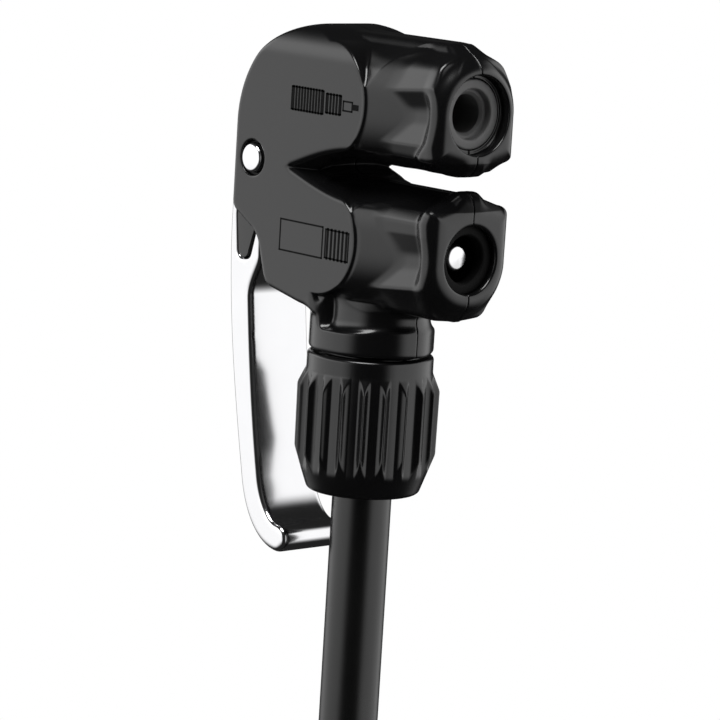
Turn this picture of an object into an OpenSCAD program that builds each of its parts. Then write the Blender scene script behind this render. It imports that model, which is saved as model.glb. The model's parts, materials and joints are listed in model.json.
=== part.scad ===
// Twin-port tyre pump head with a thumb lever, a fluted hose nut and its hose.
// Millimetres. The origin lies on the lower port's axis, in the middle of its grommet's lip.
// The ports open towards -Y, +Z is up, and the hose hangs down.

/* [Ports] */
// Height of the upper port's axis over the lower one's
port_spacing = 24.6; // [24:0.2:28]
// Distance from the pivot pin's axis to the port faces
port_reach = 46; // [45:0.5:52]
// Bore of the lower grommet's lip, for a 7.7 mm valve stem
schrader_bore = 8.2; // [7.9:0.1:8.6]
// Bore of the upper grommet, for a 6 mm valve stem
presta_bore = 6.6; // [6.2:0.1:7]
// Outside diameter of both grommets
grommet_d = 12; // [11.6:0.1:12.4]
// Depth of the grommets' back ends under the port faces
grommet_seat = 11; // [10:0.5:12]
// Diameter of the upper port's mouth
presta_mouth_d = 13.8; // [13:0.1:14.4]
// Depth of the upper port's mouth
presta_mouth_depth = 2.3; // [1:0.1:3]
// Diameter of the lower port's mouth
schrader_mouth_d = 11.5; // [10.5:0.1:11.6]
// Depth of the lower port's mouth
schrader_mouth_depth = 1.5; // [1:0.1:2]
// Length of the lower grommet's lip
lip_length = 2.5; // [1.5:0.1:2.6]
// Diameter of the collar round each port
collar_d = 18.4; // [17.6:0.2:20]
// Length of each collar
collar_length = 4.5; // [4.2:0.1:6]

/* [Head] */
// Width of the head over its cheeks
head_w = 22; // [21.6:0.2:26]
// Height of the head's spine over the pivot
head_top = 25; // [24.6:0.2:28]
// Fall of the spine from the cheeks to the ports
keel_drop = 1; // [0.4:0.1:1.4]
// Depth of the head's underside below the pivot
head_floor = 23.8; // [23:0.2:26]
// Reach of the cheeks behind the pivot
head_back = 5.2; // [4:0.2:6]
// Radius of the cheeks' rounded front edges
cheek_r = 10.4; // [9.6:0.2:11]
// Distance from the pivot forward to the centre of those edges
cheek_front = 18.4; // [17:0.2:20]
// Half width of the barrels over their crests
barrel_half_w = 8.4; // [8:0.1:9]
// Depth of the finger groove along each barrel
groove_depth = 1.2; // [0.6:0.1:1.3]
// Height of the slot between the barrels, at its middle
slot_height = 3.1; // [2.4:0.1:4]
// Height of the slot's middle over the pivot
slot_offset = 0.45; // [0:0.05:1]
// How much the slot's lower wall falls away towards the cheeks
slot_flare = 3.1; // [1.5:0.1:3.4]
// How much the slot's upper wall rises towards the cheeks
slot_rise = 2.1; // [0.6:0.1:2.4]
// Distance from the pivot forward to the slot's closed end
slot_end = 15; // [14.6:0.2:16]

/* [Lever] */
// Width of the lever
lever_w = 14; // [12:0.2:14.4]
// Distance from the pivot down to the middle of the lever's toe
lever_length = 67.4; // [62:0.2:80]
// Thickness of the lever at the fork round its hub
lever_root_t = 8.6; // [8.2:0.1:9]
// Thickness of the lever's bar
lever_bar_t = 5.6; // [4:0.1:6]
// Thickness of the lever at its toe
lever_toe_t = 5; // [3.6:0.1:5.2]
// Swing of the lever, in degrees
lever_swing = 135; // [120:1:140]
// Travel of each plunger over the full swing
plunger_stroke = 3; // [2:0.1:3.2]
// Diameter of the pivot pin
pin_d = 5; // [4:0.1:5.2]
// How far each end of the pin stands out of its cheek
pin_proud = 0.5; // [0.2:0.1:1]

/* [Neck and nut] */
// Distance from the pivot forward to the hose axis
hose_offset = 22; // [21:0.5:23]
// Diameter of the neck ring
neck_d = 22; // [21:0.2:24]
// Length of the nut
nut_length = 24.4; // [23:0.2:30]
// Diameter of the nut at its grip
nut_d = 25.2; // [24:0.1:28]
// Diameter of the nut's plain band at the top
nut_top_d = 22.2; // [21.8:0.1:23]
// Diameter of the nut's lower end
nut_foot_d = 19.7; // [18:0.1:21]
// Number of flutes round the nut
flutes = 20; // [12:1:24]
// Diameter of the cutter that makes a flute
flute_d = 3.4; // [2:0.1:3.6]
// Outside diameter of the neck's thread under the ring
thread_d = 18.4; // [17.6:0.1:18.6]

/* [Hose] */
// Outside diameter of the hose
hose_d = 10.5; // [9.5:0.1:10.6]
// Bore of the hose
hose_bore = 5.6; // [5:0.1:6]
// Diameter of the coil at the middle of its turns
coil_d = 116; // [110:1:126]
// Whole turns in the coil
coil_turns = 2; // [1:1:4]
// Space between neighbouring turns
coil_gap = 0.8; // [0.6:0.1:2]
// Diameter of the end fitting's threaded spigot
spigot_d = 9.7; // [9:0.1:10]

/* [Hidden] */
$fn = 48;

// Clearances: pieces that stay together, that turn and that slide on each other, that pass each other
seat_gap = 0.05;
run_gap = 0.05;
slide_gap = 0.1;
cam_gap = 0.02;
pass_gap = 0.4;
// Over-length that lets a cutter run clear of what it cuts
over = 1;
corner_steps = 6;

// Colours as the object shows them
shell_black = [0.07, 0.07, 0.07];
rubber_black = [0.05, 0.05, 0.05];
steel = [0.82, 0.83, 0.84];
brass = [0.78, 0.62, 0.3];
block_grey = [0.25, 0.25, 0.27];

// Port axes and faces, measured from the pivot
presta_z = port_spacing / 2;
schrader_z = -port_spacing / 2;
face_y = -port_reach;
seat_y = face_y + grommet_seat;
lip_mid_depth = schrader_mouth_depth + lip_length / 2;
// Place of the pivot in the part's own frame
pivot_y = port_reach - lip_mid_depth;
pivot_z = port_spacing / 2;

// Cylinders of the valve block and what runs in them
cylinder_wall = 1;
tube_r = grommet_d / 2 - slide_gap;
bore_r = tube_r - cylinder_wall;
piston_r = bore_r - slide_gap;
piston_length = 12;
rod_r = 2.5;
seal_t = 1.4;
seal_depth = 2.4;
seal_sides = 24;

// Cam heights from the pivot to each push plate
cam_wall = 2.1;
cam_low = pin_d / 2 + cam_wall;
cam_high = cam_low + plunger_stroke;
cam_rate = plunger_stroke / (lever_swing * PI / 180);
cam_lead = 20;
full_turn = 360;
cam_steps = 90;
hub_margin = 0.7;
hub_r = cam_high + hub_margin;
plate_t = 2.4;
plate_r = 5.2;
ear_gap = 0.3;
lever_space = lever_w / 2 + ear_gap;
hub_half_w = lever_w / 2 - slide_gap;

// Web between the two cylinders
slot_wall = 1.5;
web_front = -slot_end + slot_wall;
web_back = -(cam_high + plate_t + pass_gap);
web_half_w = 5;

// Slot walls
slot_top = slot_offset + slot_height / 2;
slot_bottom = slot_offset - slot_height / 2;
slot_flat = 1.5;
flare_start = 5.8;
flare_tip_z = -0.5;
flare_root_y = -28;

// Neck, stem and nut heights, measured from the pivot
hose_y = -hose_offset;
neck_length = 3.8;
ring_length = 3.6;
ring_top = -(head_floor + neck_length);
ring_bottom = ring_top - ring_length;
nut_gap = 0.6;
nut_top = ring_bottom - nut_gap;
nut_bottom = nut_top - nut_length;
thread_length = 11;
thread_bottom = ring_bottom - thread_length;
boss_r = 5;
boss_drop = 0.2;
boss_bottom = -head_floor - boss_drop;
plug_r = 3.4;
plug_length = 5;
plug_gap = 0.2;
seal_land = 1.4;
seal_play = 0.08;
flange_r = 4.8;
flange_t = 2;
shank_gap = 0.3;
shank_r = hose_bore / 2 - shank_gap;
barb_r = hose_bore / 2 - seat_gap;
barbs = 5;
barb_pitch = 3;
stem_bore_r = 1.6;
hose_inset = 1.2;
hose_top = ring_bottom - hose_inset;
barb_inset = 2;
barb_top = hose_top - barb_inset;
stem_bottom = barb_top - barbs * barb_pitch;
hose_space = hose_d / 2 + slide_gap;

// Nut inside
nut_lip = 2.6;
hose_play = 0.35;
nut_hole_r = hose_d / 2 + hose_play;
sleeve_t = 1.9;
sleeve_r = hose_space + sleeve_t;
sleeve_top = thread_bottom - pass_gap;
sleeve_bottom = nut_bottom + nut_lip + seat_gap;
nut_pocket_r = sleeve_r + run_gap;
thread_r = thread_d / 2;
nut_bore_r = thread_r + slide_gap;

// Lever: hub tongue, fork and the middle line of the bar
tongue_rear = 8;
tongue_front = 2.6;
tongue_tip_r = 1.3;
tongue_tip_y = 5.9;
tongue_bottom = -17.3;
tongue_taper = 6;
fork_gap = 0.5;
fork_top_r = hub_r + fork_gap;
lever_back = 10;
toe_rise = 9.4;
lever_bend_z = -lever_length + toe_rise;
lever_steps = 12;
// Heights over which the lever thins, below the fork and above the bend
fork_end = -26;
fork_fade = 8;
lever_thinning = 30;

// Hose route: straight down from the stem, then the coil, then a straight tail
coil_z = -184;
hose_pitch = hose_d + coil_gap;
coil_r = coil_d / 2;
coil_rings = 24;
coil_sides = 6;
tail_length = 42;
ferrule_length = 20;
ferrule_t = 1.4;
ferrule_r = hose_d / 2 + ferrule_t;
tie_t = 1.6;
tie_height = 12;
tie_gap = 0.6;
fitting_flange_t = 2;
hex_d = 14;
hex_t = 6;
spigot_length = 10;
washer_t = 1.5;
washer_r = 7;
thread_depth = 0.5;
relief_r = spigot_d / 2 - thread_depth;

function unit(v) = v / norm(v);

// Points of one rounded corner between a, b and c, with b's radius
function corner(a, b, c, r) =
    r <= 0 ? [b] :
    let (u = unit(a - b), w = unit(c - b), half = acos(u * w) / 2,
         centre = b + unit(u + w) * r / sin(half),
         start = b + u * r / tan(half) - centre,
         stop = b + w * r / tan(half) - centre,
         from = atan2(start[1], start[0]),
         raw = atan2(stop[1], stop[0]) - from,
         turn = raw > 180 ? raw - 360 : raw < -180 ? raw + 360 : raw)
    [for (i = [0 : corner_steps])
        centre + r * [cos(from + turn * i / corner_steps), sin(from + turn * i / corner_steps)]];

// Closed outline from [x, y, radius] corners
function rounded(marks) =
    let (n = len(marks), at = function(i) [marks[(i + n) % n][0], marks[(i + n) % n][1]])
    [for (i = [0 : n - 1]) each corner(at(i - 1), at(i), at(i + 1), marks[i][2])];

// Smooth rise from 0 to 1
function ease(x) = let (t = max(0, min(1, x))) t * t * (3 - 2 * t);

// Points of a cubic curve with end points a and d
function curve(a, b, c, d, steps) =
    [for (i = [0 : steps]) let (t = i / steps, s = 1 - t)
        s * s * s * a + 3 * s * s * t * b + 3 * s * t * t * c + t * t * t * d];

module at_pivot() translate([0, pivot_y, pivot_z]) children();
// A solid of an outline in Y and Z, centred on X
module across(width) rotate([90, 0, 90]) linear_extrude(width, center = true) children();
// A solid of an outline in X and Z, from y = from to y = to
module along(from, to) translate([0, to, 0]) rotate([90, 0, 0]) linear_extrude(to - from) children();
// A round bar along Y on a port's axis
module bar(z, r, from, to) translate([0, from, z]) rotate([-90, 0, 0]) cylinder(r = r, h = to - from);
// A round bar along X through the pivot
module cross_bar(r, half) rotate([0, 90, 0]) cylinder(r = r, h = 2 * half, center = true);

// Head: outer form of both shells together

// Side outline of the cheeks, whose front edges are round
module cheek_outline() {
    crown_r = 20;
    heel_z = -9.2;
    heel_r = 3;
    notch = [-2.4, -13.4];
    notch_r = 4;
    throat_y = -5;
    throat_r = 6;
    polygon(rounded([
        [-cheek_front, head_top, 0],
        [head_back, head_top, crown_r],
        [head_back, heel_z, heel_r],
        [notch[0], notch[1], notch_r],
        [throat_y, -head_floor, throat_r],
        [-cheek_front, -head_floor, 0]]));
    for (z = [presta_z, schrader_z]) translate([-cheek_front, z]) circle(cheek_r);
}

// Outline of the head seen from behind
module back_outline() {
    brow_r = 7;
    sill_r = 6;
    polygon(rounded([
        [-head_w / 2, head_top, brow_r],
        [head_w / 2, head_top, brow_r],
        [head_w / 2, -head_floor - over, sill_r],
        [-head_w / 2, -head_floor - over, sill_r]]));
}

// Half outline of a barrel with its crests and groove. The port axis is the origin, +Y points away
// from the slot, which lies lip below the axis and flares by flare. The groove's middle lies shift over
// the axis.
function barrel_half(crown, crown_half, lip, flare, shift) =
    let (crest = 4.7, shoulder = [1, 0.8], crest_out = 0.2,
         groove_r = (crest * crest + groove_depth * groove_depth) / (2 * groove_depth),
         groove_x = barrel_half_w - groove_depth + groove_r, sweep = asin(crest / groove_r))
    [[crown_half, crown],
     [crown_half + shoulder[0], crown - shoulder[1]],
     for (i = [0 : corner_steps]) let (a = sweep * (1 - 2 * i / corner_steps))
         [groove_x - groove_r * cos(a), shift + groove_r * sin(a)],
     [barrel_half_w + crest_out, flare - lip],
     [slot_flat, -lip]];

module barrel_outline(crown, crown_half, lip, flare, shift) {
    half = barrel_half(crown, crown_half, lip, flare, shift);
    polygon(concat(half, [for (i = [len(half) - 1 : -1 : 0]) [-half[i][0], half[i][1]]]));
}

// Outline of a collar: round outside, square towards the slot
module collar_outline(lip, flare, inset) {
    side_in = 0.5;
    half = collar_d / 2 - side_in - inset;
    circle(collar_d / 2 - inset, $fn = 32);
    polygon([
        [-half, 0], [half, 0], [half, flare - lip],
        [slot_flat, -lip], [-slot_flat, -lip], [-half, flare - lip]]);
}

// Collar with its outer front edge drawn in
module collar(lip, flare) {
    draw_in = 1.5;
    slice = 0.1;
    hull() {
        along(face_y, face_y + slice) collar_outline(lip, flare, draw_in);
        along(face_y + draw_in, face_y + collar_length - draw_in / 2) collar_outline(lip, flare, 0);
        along(face_y + collar_length, face_y + collar_length + slice)
            collar_outline(lip, flare, draw_in / 2);
    }
}

module barrels() {
    back = -cheek_front + over;
    front = face_y + collar_length / 2;
    crown = head_top - keel_drop - presta_z;
    keel_half = 2.6;
    keel_short = 2.8;
    belly_half = 4;
    groove_shift = 1;
    upper_lip = presta_z - slot_top;
    lower_lip = slot_bottom - schrader_z;
    translate([0, 0, presta_z]) {
        along(front + keel_short, back)
            barrel_outline(crown, keel_half, upper_lip, slot_rise, -groove_shift);
        along(front, back)
            barrel_outline(collar_d / 2, belly_half, upper_lip, slot_rise, -groove_shift);
        collar(upper_lip, slot_rise);
    }
    translate([0, 0, schrader_z]) mirror([0, 0, 1]) {
        along(front, back)
            barrel_outline(collar_d / 2, belly_half, lower_lip, slot_flare, groove_shift);
        collar(lower_lip, slot_flare);
    }
}

// Neck with its ring, and the thread that the nut turns on
module neck() translate([0, hose_y, 0]) {
    ring_edge = 0.6;
    neck_r = neck_d / 2;
    difference() {
        rotate_extrude() polygon([
            [0, schrader_z], [neck_r - ring_edge, schrader_z],
            [neck_r - ring_edge, ring_top], [neck_r, ring_top - ring_edge],
            [neck_r, ring_bottom + ring_edge], [neck_r - ring_edge, ring_bottom],
            [thread_r, ring_bottom], [thread_r, thread_bottom + ring_edge],
            [thread_r - ring_edge, thread_bottom], [0, thread_bottom]]);
        for (side = [-1, 1]) neck_panel(side);
    }
}

// Sunk panel on each side of the neck, over the ring
module neck_panel(side) {
    panel_half = 7.6;
    panel_depth = 2.2;
    panel_z = (ring_top - head_floor) / 2;
    panel_h = 3.4;
    panel_r = 1.4;
    translate([side * (neck_d / 2 - panel_depth), 0, panel_z])
        rotate([0, side * 90, 0]) rotate([0, 0, 90]) linear_extrude(neck_d)
            polygon(rounded([
                [-panel_half, -panel_h / 2, panel_r], [panel_half, -panel_h / 2, panel_r],
                [panel_half, panel_h / 2, panel_r], [-panel_half, panel_h / 2, panel_r]]));
}

// Pointed end of the slot's flare on one cheek
module flare_tip(side) {
    out = head_w / 2 + over;
    tip_reach = 5;
    tip_y = -slot_end + tip_reach;
    root_y = flare_root_y - seat_gap;
    points = [
        [flare_start, -slot_end, slot_top], [flare_start, -slot_end, slot_bottom],
        [out, root_y, slot_top + slot_rise], [out, root_y, slot_bottom - slot_flare],
        [out, tip_y, flare_tip_z],
        [flare_start, root_y, slot_top], [flare_start, root_y, slot_bottom]];
    mirror([side < 0 ? 1 : 0, 0, 0]) hull() polyhedron(points, [
        [0, 1, 6, 5], [0, 5, 2], [1, 3, 6], [0, 2, 4], [1, 4, 3], [0, 4, 1], [5, 6, 3, 2], [2, 3, 4]]);
}

// Slot between the barrels, opening out towards the cheeks
module slot_cut() {
    out = head_w / 2 + over;
    translate([-flare_start, flare_root_y - over, slot_bottom])
        cube([2 * flare_start, -slot_end - flare_root_y + over, slot_height]);
    along(face_y - over, flare_root_y) polygon([
        [-flare_start, slot_top], [flare_start, slot_top],
        [barrel_half_w, slot_top + slot_rise], [out, slot_top + slot_rise],
        [out, slot_bottom - slot_flare], [barrel_half_w, slot_bottom - slot_flare],
        [slot_flat, slot_bottom], [-slot_flat, slot_bottom],
        [-barrel_half_w, slot_bottom - slot_flare], [-out, slot_bottom - slot_flare],
        [-out, slot_top + slot_rise], [-barrel_half_w, slot_top + slot_rise]]);
    for (side = [-1, 1]) flare_tip(side);
}

module head_form() {
    difference() {
        union() {
            intersection() {
                across(head_w) cheek_outline();
                along(face_y, head_back + over) back_outline();
            }
            barrels();
            neck();
        }
        slot_cut();
    }
}

// Room inside the shells for the working pieces
module head_room() {
    chamber_half = hub_half_w + ear_gap;
    chamber_back = -cam_low + pass_gap;
    chamber_top = presta_z + plate_r + pass_gap;
    web_room = web_half_w + seat_gap;
    recess_gap = 0.55;
    recess_depth = 0.9;
    bar(presta_z, presta_mouth_d / 2, face_y - over, face_y + presta_mouth_depth);
    bar(schrader_z, schrader_mouth_d / 2, face_y - over, face_y + schrader_mouth_depth);
    bar(presta_z, grommet_d / 2 + seat_gap, face_y + presta_mouth_depth, seat_y);
    bar(schrader_z, grommet_d / 2 + seat_gap, face_y + schrader_mouth_depth, seat_y);
    for (z = [presta_z, schrader_z]) bar(z, tube_r + seat_gap, seat_y - over, web_back);
    translate([-web_room, web_front - seat_gap, schrader_z])
        cube([2 * web_room, web_back - web_front + seat_gap, port_spacing]);
    translate([-chamber_half, web_back - pass_gap, -chamber_top])
        cube([2 * chamber_half, chamber_back - web_back + pass_gap, 2 * chamber_top]);
    cross_bar(hub_r + pass_gap, lever_space);
    lever_way();
    cross_bar(pin_d / 2 + seat_gap, head_w);
    for (side = [-1, 1]) translate([side * (head_w / 2 + over), 0, 0])
        cross_bar(pin_d / 2 + recess_gap, over + recess_depth);
    translate([0, hose_y, boss_bottom - flange_t - seat_gap])
        cylinder(r = boss_r + seat_gap, h = -boss_bottom + flange_t + schrader_z);
    translate([0, hose_y, hose_top]) cylinder(r = shank_r + pass_gap, h = boss_bottom - hose_top);
    translate([0, hose_y, thread_bottom - over])
        cylinder(r = hose_space, h = hose_top - thread_bottom + over);
}

// Gap between the cheeks that the lever swings through, from its lowest place to its highest
module lever_way() {
    reach = 2 * head_top;
    low_front = -1.2;
    across(2 * lever_space) {
        translate([low_front, -reach]) square([reach, reach]);
        rotate(lever_swing) translate([-reach, -reach])
            square([reach + lever_back + pass_gap, reach]);
    }
}

module shell(side) {
    difference() {
        intersection() {
            head_form();
            translate([side > 0 ? 0 : -head_w, face_y - over, thread_bottom - over])
                cube([head_w, port_reach + head_back + 2 * over, head_top - thread_bottom + 2 * over]);
        }
        head_room();
    }
}

module left_shell() color(shell_black) at_pivot() shell(-1);
module right_shell() color(shell_black) at_pivot() shell(1);

// Air block: two cylinders, the web with the passage between them, and the boss for the stem
module valve_block() color(block_grey) at_pivot() {
    passage_r = 0.7;
    passage_x = 3.9;
    passage_y = (web_front + web_back) / 2;
    inlet_r = 1.6;
    difference() {
        union() {
            for (z = [presta_z, schrader_z]) bar(z, tube_r, seat_y, web_back);
            translate([-web_half_w, web_front, schrader_z])
                cube([2 * web_half_w, web_back - web_front, port_spacing]);
            translate([0, hose_y, boss_bottom]) cylinder(r = boss_r, h = schrader_z - boss_bottom);
        }
        for (z = [presta_z, schrader_z]) {
            bar(z, bore_r, seat_y - over, web_front);
            bar(z, rod_r + slide_gap, web_front - over, web_back + over);
            translate([passage_x, 0, 0]) bar(z, passage_r, web_front - over, passage_y);
        }
        translate([passage_x, passage_y, schrader_z]) cylinder(r = passage_r, h = port_spacing);
        translate([0, hose_y, boss_bottom - over]) cylinder(r = plug_r + seat_gap, h = plug_length + over);
        translate([0, hose_y, boss_bottom]) cylinder(r = inlet_r, h = schrader_z - boss_bottom);
    }
}

// Upper grommet, with a wider mouth that leads the stem in
module presta_grommet() color(rubber_black) at_pivot() {
    mouth_r = 4.3;
    mouth_depth = 1.3;
    front = face_y + presta_mouth_depth;
    difference() {
        bar(presta_z, grommet_d / 2, front, seat_y);
        bar(presta_z, presta_bore / 2, front - over, seat_y + over);
        bar(presta_z, mouth_r, front - over, front + mouth_depth);
    }
}

// Lower grommet: a lip that grips the stem, and relief behind it
module schrader_grommet() color(rubber_black) at_pivot() {
    lip_height = 0.5;
    relief_r = schrader_bore / 2 + lip_height;
    front = face_y + schrader_mouth_depth;
    difference() {
        bar(schrader_z, grommet_d / 2, front, seat_y);
        bar(schrader_z, schrader_bore / 2, front - over, seat_y + over);
        bar(schrader_z, relief_r, front + lip_length, seat_y + over);
    }
}

// Piston with its seal groove, its rod back to the push plate and two air holes
module plunger(z, front, plate_front) {
    air_r = 0.6;
    air_wall = 0.2;
    difference() {
        union() {
            bar(z, piston_r, front, front + piston_length);
            bar(z, rod_r, front + piston_length - over, plate_front);
        }
        difference() {
            bar(z, piston_r + over, front + seal_depth, front + seal_depth + seal_t + 2 * run_gap);
            bar(z, piston_r - seal_t, front, front + piston_length);
        }
        for (side = [-1, 1]) translate([side * (rod_r + air_r + air_wall), 0, 0])
            bar(z, air_r, front - over, front + piston_length + over);
    }
}

presta_front = seat_y + seat_gap + plunger_stroke;
presta_plate = -cam_low - cam_gap;
schrader_front = seat_y + seat_gap;
schrader_plate = -cam_high - cam_gap;

module presta_plunger() color(block_grey) at_pivot() {
    tip_room_r = presta_bore / 2;
    tip_room = 8.5;
    tip_wall = 0.3;
    room_r = min(tip_room_r, piston_r - seal_t - tip_wall);
    difference() {
        plunger(presta_z, presta_front, presta_plate - plate_t);
        bar(presta_z, room_r, presta_front - over, presta_front + tip_room);
    }
}

depressor_r = 2.1;
depressor_shank_r = 1.4;
depressor_seat = 6;

module schrader_plunger() color(block_grey) at_pivot() difference() {
    plunger(schrader_z, schrader_front, schrader_plate - plate_t);
    bar(schrader_z, depressor_shank_r, schrader_front - over, schrader_front + depressor_seat);
}

// Pin that opens the valve core; its round head shows in the lower port
module schrader_depressor() color(steel) at_pivot() {
    behind_lip = 0.2;
    front = face_y + schrader_mouth_depth + lip_length + behind_lip;
    head_length = 2.6;
    edge = 0.4;
    translate([0, 0, schrader_z]) rotate([-90, 0, 0]) translate([0, 0, front]) rotate_extrude() polygon([
        [0, 0], [depressor_r - edge, 0], [depressor_r, edge], [depressor_r, head_length],
        [depressor_shank_r, head_length + edge],
        [depressor_shank_r, schrader_front + depressor_seat - front],
        [0, schrader_front + depressor_seat - front]]);
}

// O-ring of a plunger
module plunger_seal(z, front) translate([0, front + seal_depth + seal_t / 2 + run_gap, z])
    rotate([90, 0, 0]) rotate_extrude()
        translate([piston_r - seal_t / 2 + run_gap, 0]) circle(seal_t / 2, $fn = seal_sides);

module presta_seal() color(rubber_black) at_pivot() plunger_seal(presta_z, presta_front);
module schrader_seal() color(rubber_black) at_pivot() plunger_seal(schrader_z, schrader_front);

// Plate that takes one cam's push to its plunger. It keeps to its own side beside the hub.
module push_plate(z, back, side) {
    foot = 3;
    middle_gap = 0.3;
    along(back - plate_t, back) {
        translate([0, z]) circle(plate_r);
        translate([side > 0 ? middle_gap : -hub_half_w, z > 0 ? -foot : z])
            square([hub_half_w - middle_gap, abs(z) + foot]);
    }
}

module presta_push_plate() color(steel) at_pivot() push_plate(presta_z, presta_plate, -1);
module schrader_push_plate() color(steel) at_pivot() push_plate(schrader_z, schrader_plate, 1);

// Height of a cam towards the plates when the lever has turned by a degrees. It grows evenly over
// the swing and a little past it, and a smooth curve closes the far side.
function cam_height(a, low, rate) =
    let (turn = a < -cam_lead ? a + full_turn : a, last = lever_swing + cam_lead)
    turn <= last ? low + rate * turn * PI / 180 :
    let (span = full_turn - cam_lead - last, t = (turn - last) / span,
         h0 = low + rate * last * PI / 180, h1 = low - rate * cam_lead * PI / 180,
         slope = rate * span * PI / 180)
    h0 * (2 * pow(t, 3) - 3 * t * t + 1) + slope * (pow(t, 3) - 2 * t * t + t)
        + h1 * (3 * t * t - 2 * pow(t, 3)) + slope * (pow(t, 3) - t * t);

// Outline of a cam that pushes a flat plate by that height
function cam_outline(low, rate) =
    [for (i = [0 : cam_steps - 1])
        let (a = i * full_turn / cam_steps - cam_lead, step = 0.1, h = cam_height(a, low, rate),
             rise = cam_height(a + step, low, rate) - cam_height(a - step, low, rate),
             slope = rise / (2 * step) * 180 / PI)
        h * [-cos(a), sin(a)] + slope * [sin(a), cos(a)]];

// Tongue of the hub, and the slot in the lever that holds it
module tongue_outline(gap) {
    tip_y = tongue_tip_y;
    polygon([
        [tongue_rear + gap, 0], [tongue_rear + gap, tongue_bottom + tongue_taper],
        [tip_y + tongue_tip_r + gap, tongue_bottom], [tip_y - tongue_tip_r - gap, tongue_bottom],
        [tongue_front - gap, tongue_bottom + tongue_taper], [tongue_front - gap, 0]]);
    translate([tip_y, tongue_bottom]) circle(tongue_tip_r + gap);
}

module lever_cam() color(shell_black) at_pivot() difference() {
    union() {
        translate([-hub_half_w / 2, 0, 0]) across(hub_half_w) polygon(cam_outline(cam_low, cam_rate));
        translate([hub_half_w / 2, 0, 0]) across(hub_half_w) polygon(cam_outline(cam_high, -cam_rate));
        across(2 * hub_half_w) tongue_outline(0);
    }
    cross_bar(pin_d / 2 + run_gap, lever_w);
}

// Metal lever: a fork round the hub's tongue, a bar that thins towards the bend, and a hooked toe
module lever() color(steel) at_pivot() {
    root = [lever_back - lever_bar_t / 2, -8];
    root_pull = [0.7, -16];
    bend = [0.9, lever_bend_z];
    bend_pull = [2.7, 12];
    hook_pull = [-1.15, -5];
    toe = [-7.2, -lever_length];
    toe_pull = [4, 0.3];
    hook = curve(bend, bend + hook_pull, toe + toe_pull, toe, lever_steps);
    line = concat(
        curve(root, root + root_pull, bend + bend_pull, bend, lever_steps),
        [for (i = [1 : lever_steps]) hook[i]]);
    last = len(line) - 1;
    heading = function(i) unit(line[min(i + 1, last)] - line[max(i - 1, 0)]);
    forward = function(i) [heading(i)[1], -heading(i)[0]];
    half_t = function(z) lever_toe_t / 2
        + (lever_bar_t - lever_toe_t) / 2 * ease((z - lever_bend_z) / lever_thinning);
    fork_t = function(z) (lever_root_t - lever_bar_t) * ease((z - fork_end) / fork_fade);
    front = function(i) line[i] + (half_t(line[i][1]) + fork_t(line[i][1])) * forward(i);
    back = function(i) line[i] - half_t(line[i][1]) * forward(i);
    across(lever_w) difference() {
        union() {
            polygon(concat([for (i = [0 : last]) front(i)], [for (i = [last : -1 : 0]) back(i)]));
            translate(toe) circle(lever_toe_t / 2);
            translate([lever_back - lever_root_t, root[1] - seat_gap]) square([lever_root_t, -root[1]]);
        }
        circle(fork_top_r);
        tongue_outline(seat_gap);
    }
}

// Pivot pin with eased ends
module pivot_pin() color(steel) at_pivot() {
    half = head_w / 2 + pin_proud;
    edge = 0.4;
    rotate([0, 90, 0]) rotate_extrude() polygon([
        [0, -half], [pin_d / 2 - edge, -half], [pin_d / 2, -half + edge],
        [pin_d / 2, half - edge], [pin_d / 2 - edge, half], [0, half]]);
}

// Stem: plug with its seal groove, flange and barbed shank
module hose_stem() color(brass) at_pivot() translate([0, hose_y, 0]) {
    plug_top = boss_bottom + plug_length - plug_gap;
    groove_top = plug_top - seal_land;
    groove_bottom = groove_top - seal_t;
    groove_r = plug_r - seal_t;
    barb_face = 0.6;
    rotate_extrude() polygon(concat(
        [[stem_bore_r, stem_bottom], [stem_bore_r, plug_top], [plug_r, plug_top], [plug_r, groove_top],
         [groove_r, groove_top], [groove_r, groove_bottom], [plug_r, groove_bottom],
         [plug_r, boss_bottom], [flange_r, boss_bottom], [flange_r, boss_bottom - flange_t],
         [shank_r, boss_bottom - flange_t]],
        [for (i = [0 : barbs - 1]) each [
            [shank_r, barb_top - i * barb_pitch], [barb_r, barb_top - i * barb_pitch - barb_face],
            [shank_r, barb_top - (i + 1) * barb_pitch]]]));
}

module stem_seal() color(rubber_black) at_pivot()
    translate([0, hose_y, boss_bottom + plug_length - plug_gap - seal_land - seal_t / 2])
        rotate_extrude() translate([plug_r - seal_t / 2, 0])
            circle(seal_t / 2 - seal_play, $fn = seal_sides);

// Sleeve that the nut presses round the hose, with a tapered foot
module compression_sleeve() color(block_grey) at_pivot() translate([0, hose_y, 0]) {
    taper = 1.2;
    rotate_extrude() polygon([
        [hose_space, sleeve_top], [sleeve_r, sleeve_top], [sleeve_r, sleeve_bottom + taper],
        [sleeve_r - taper, sleeve_bottom], [hose_space, sleeve_bottom]]);
}

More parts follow.
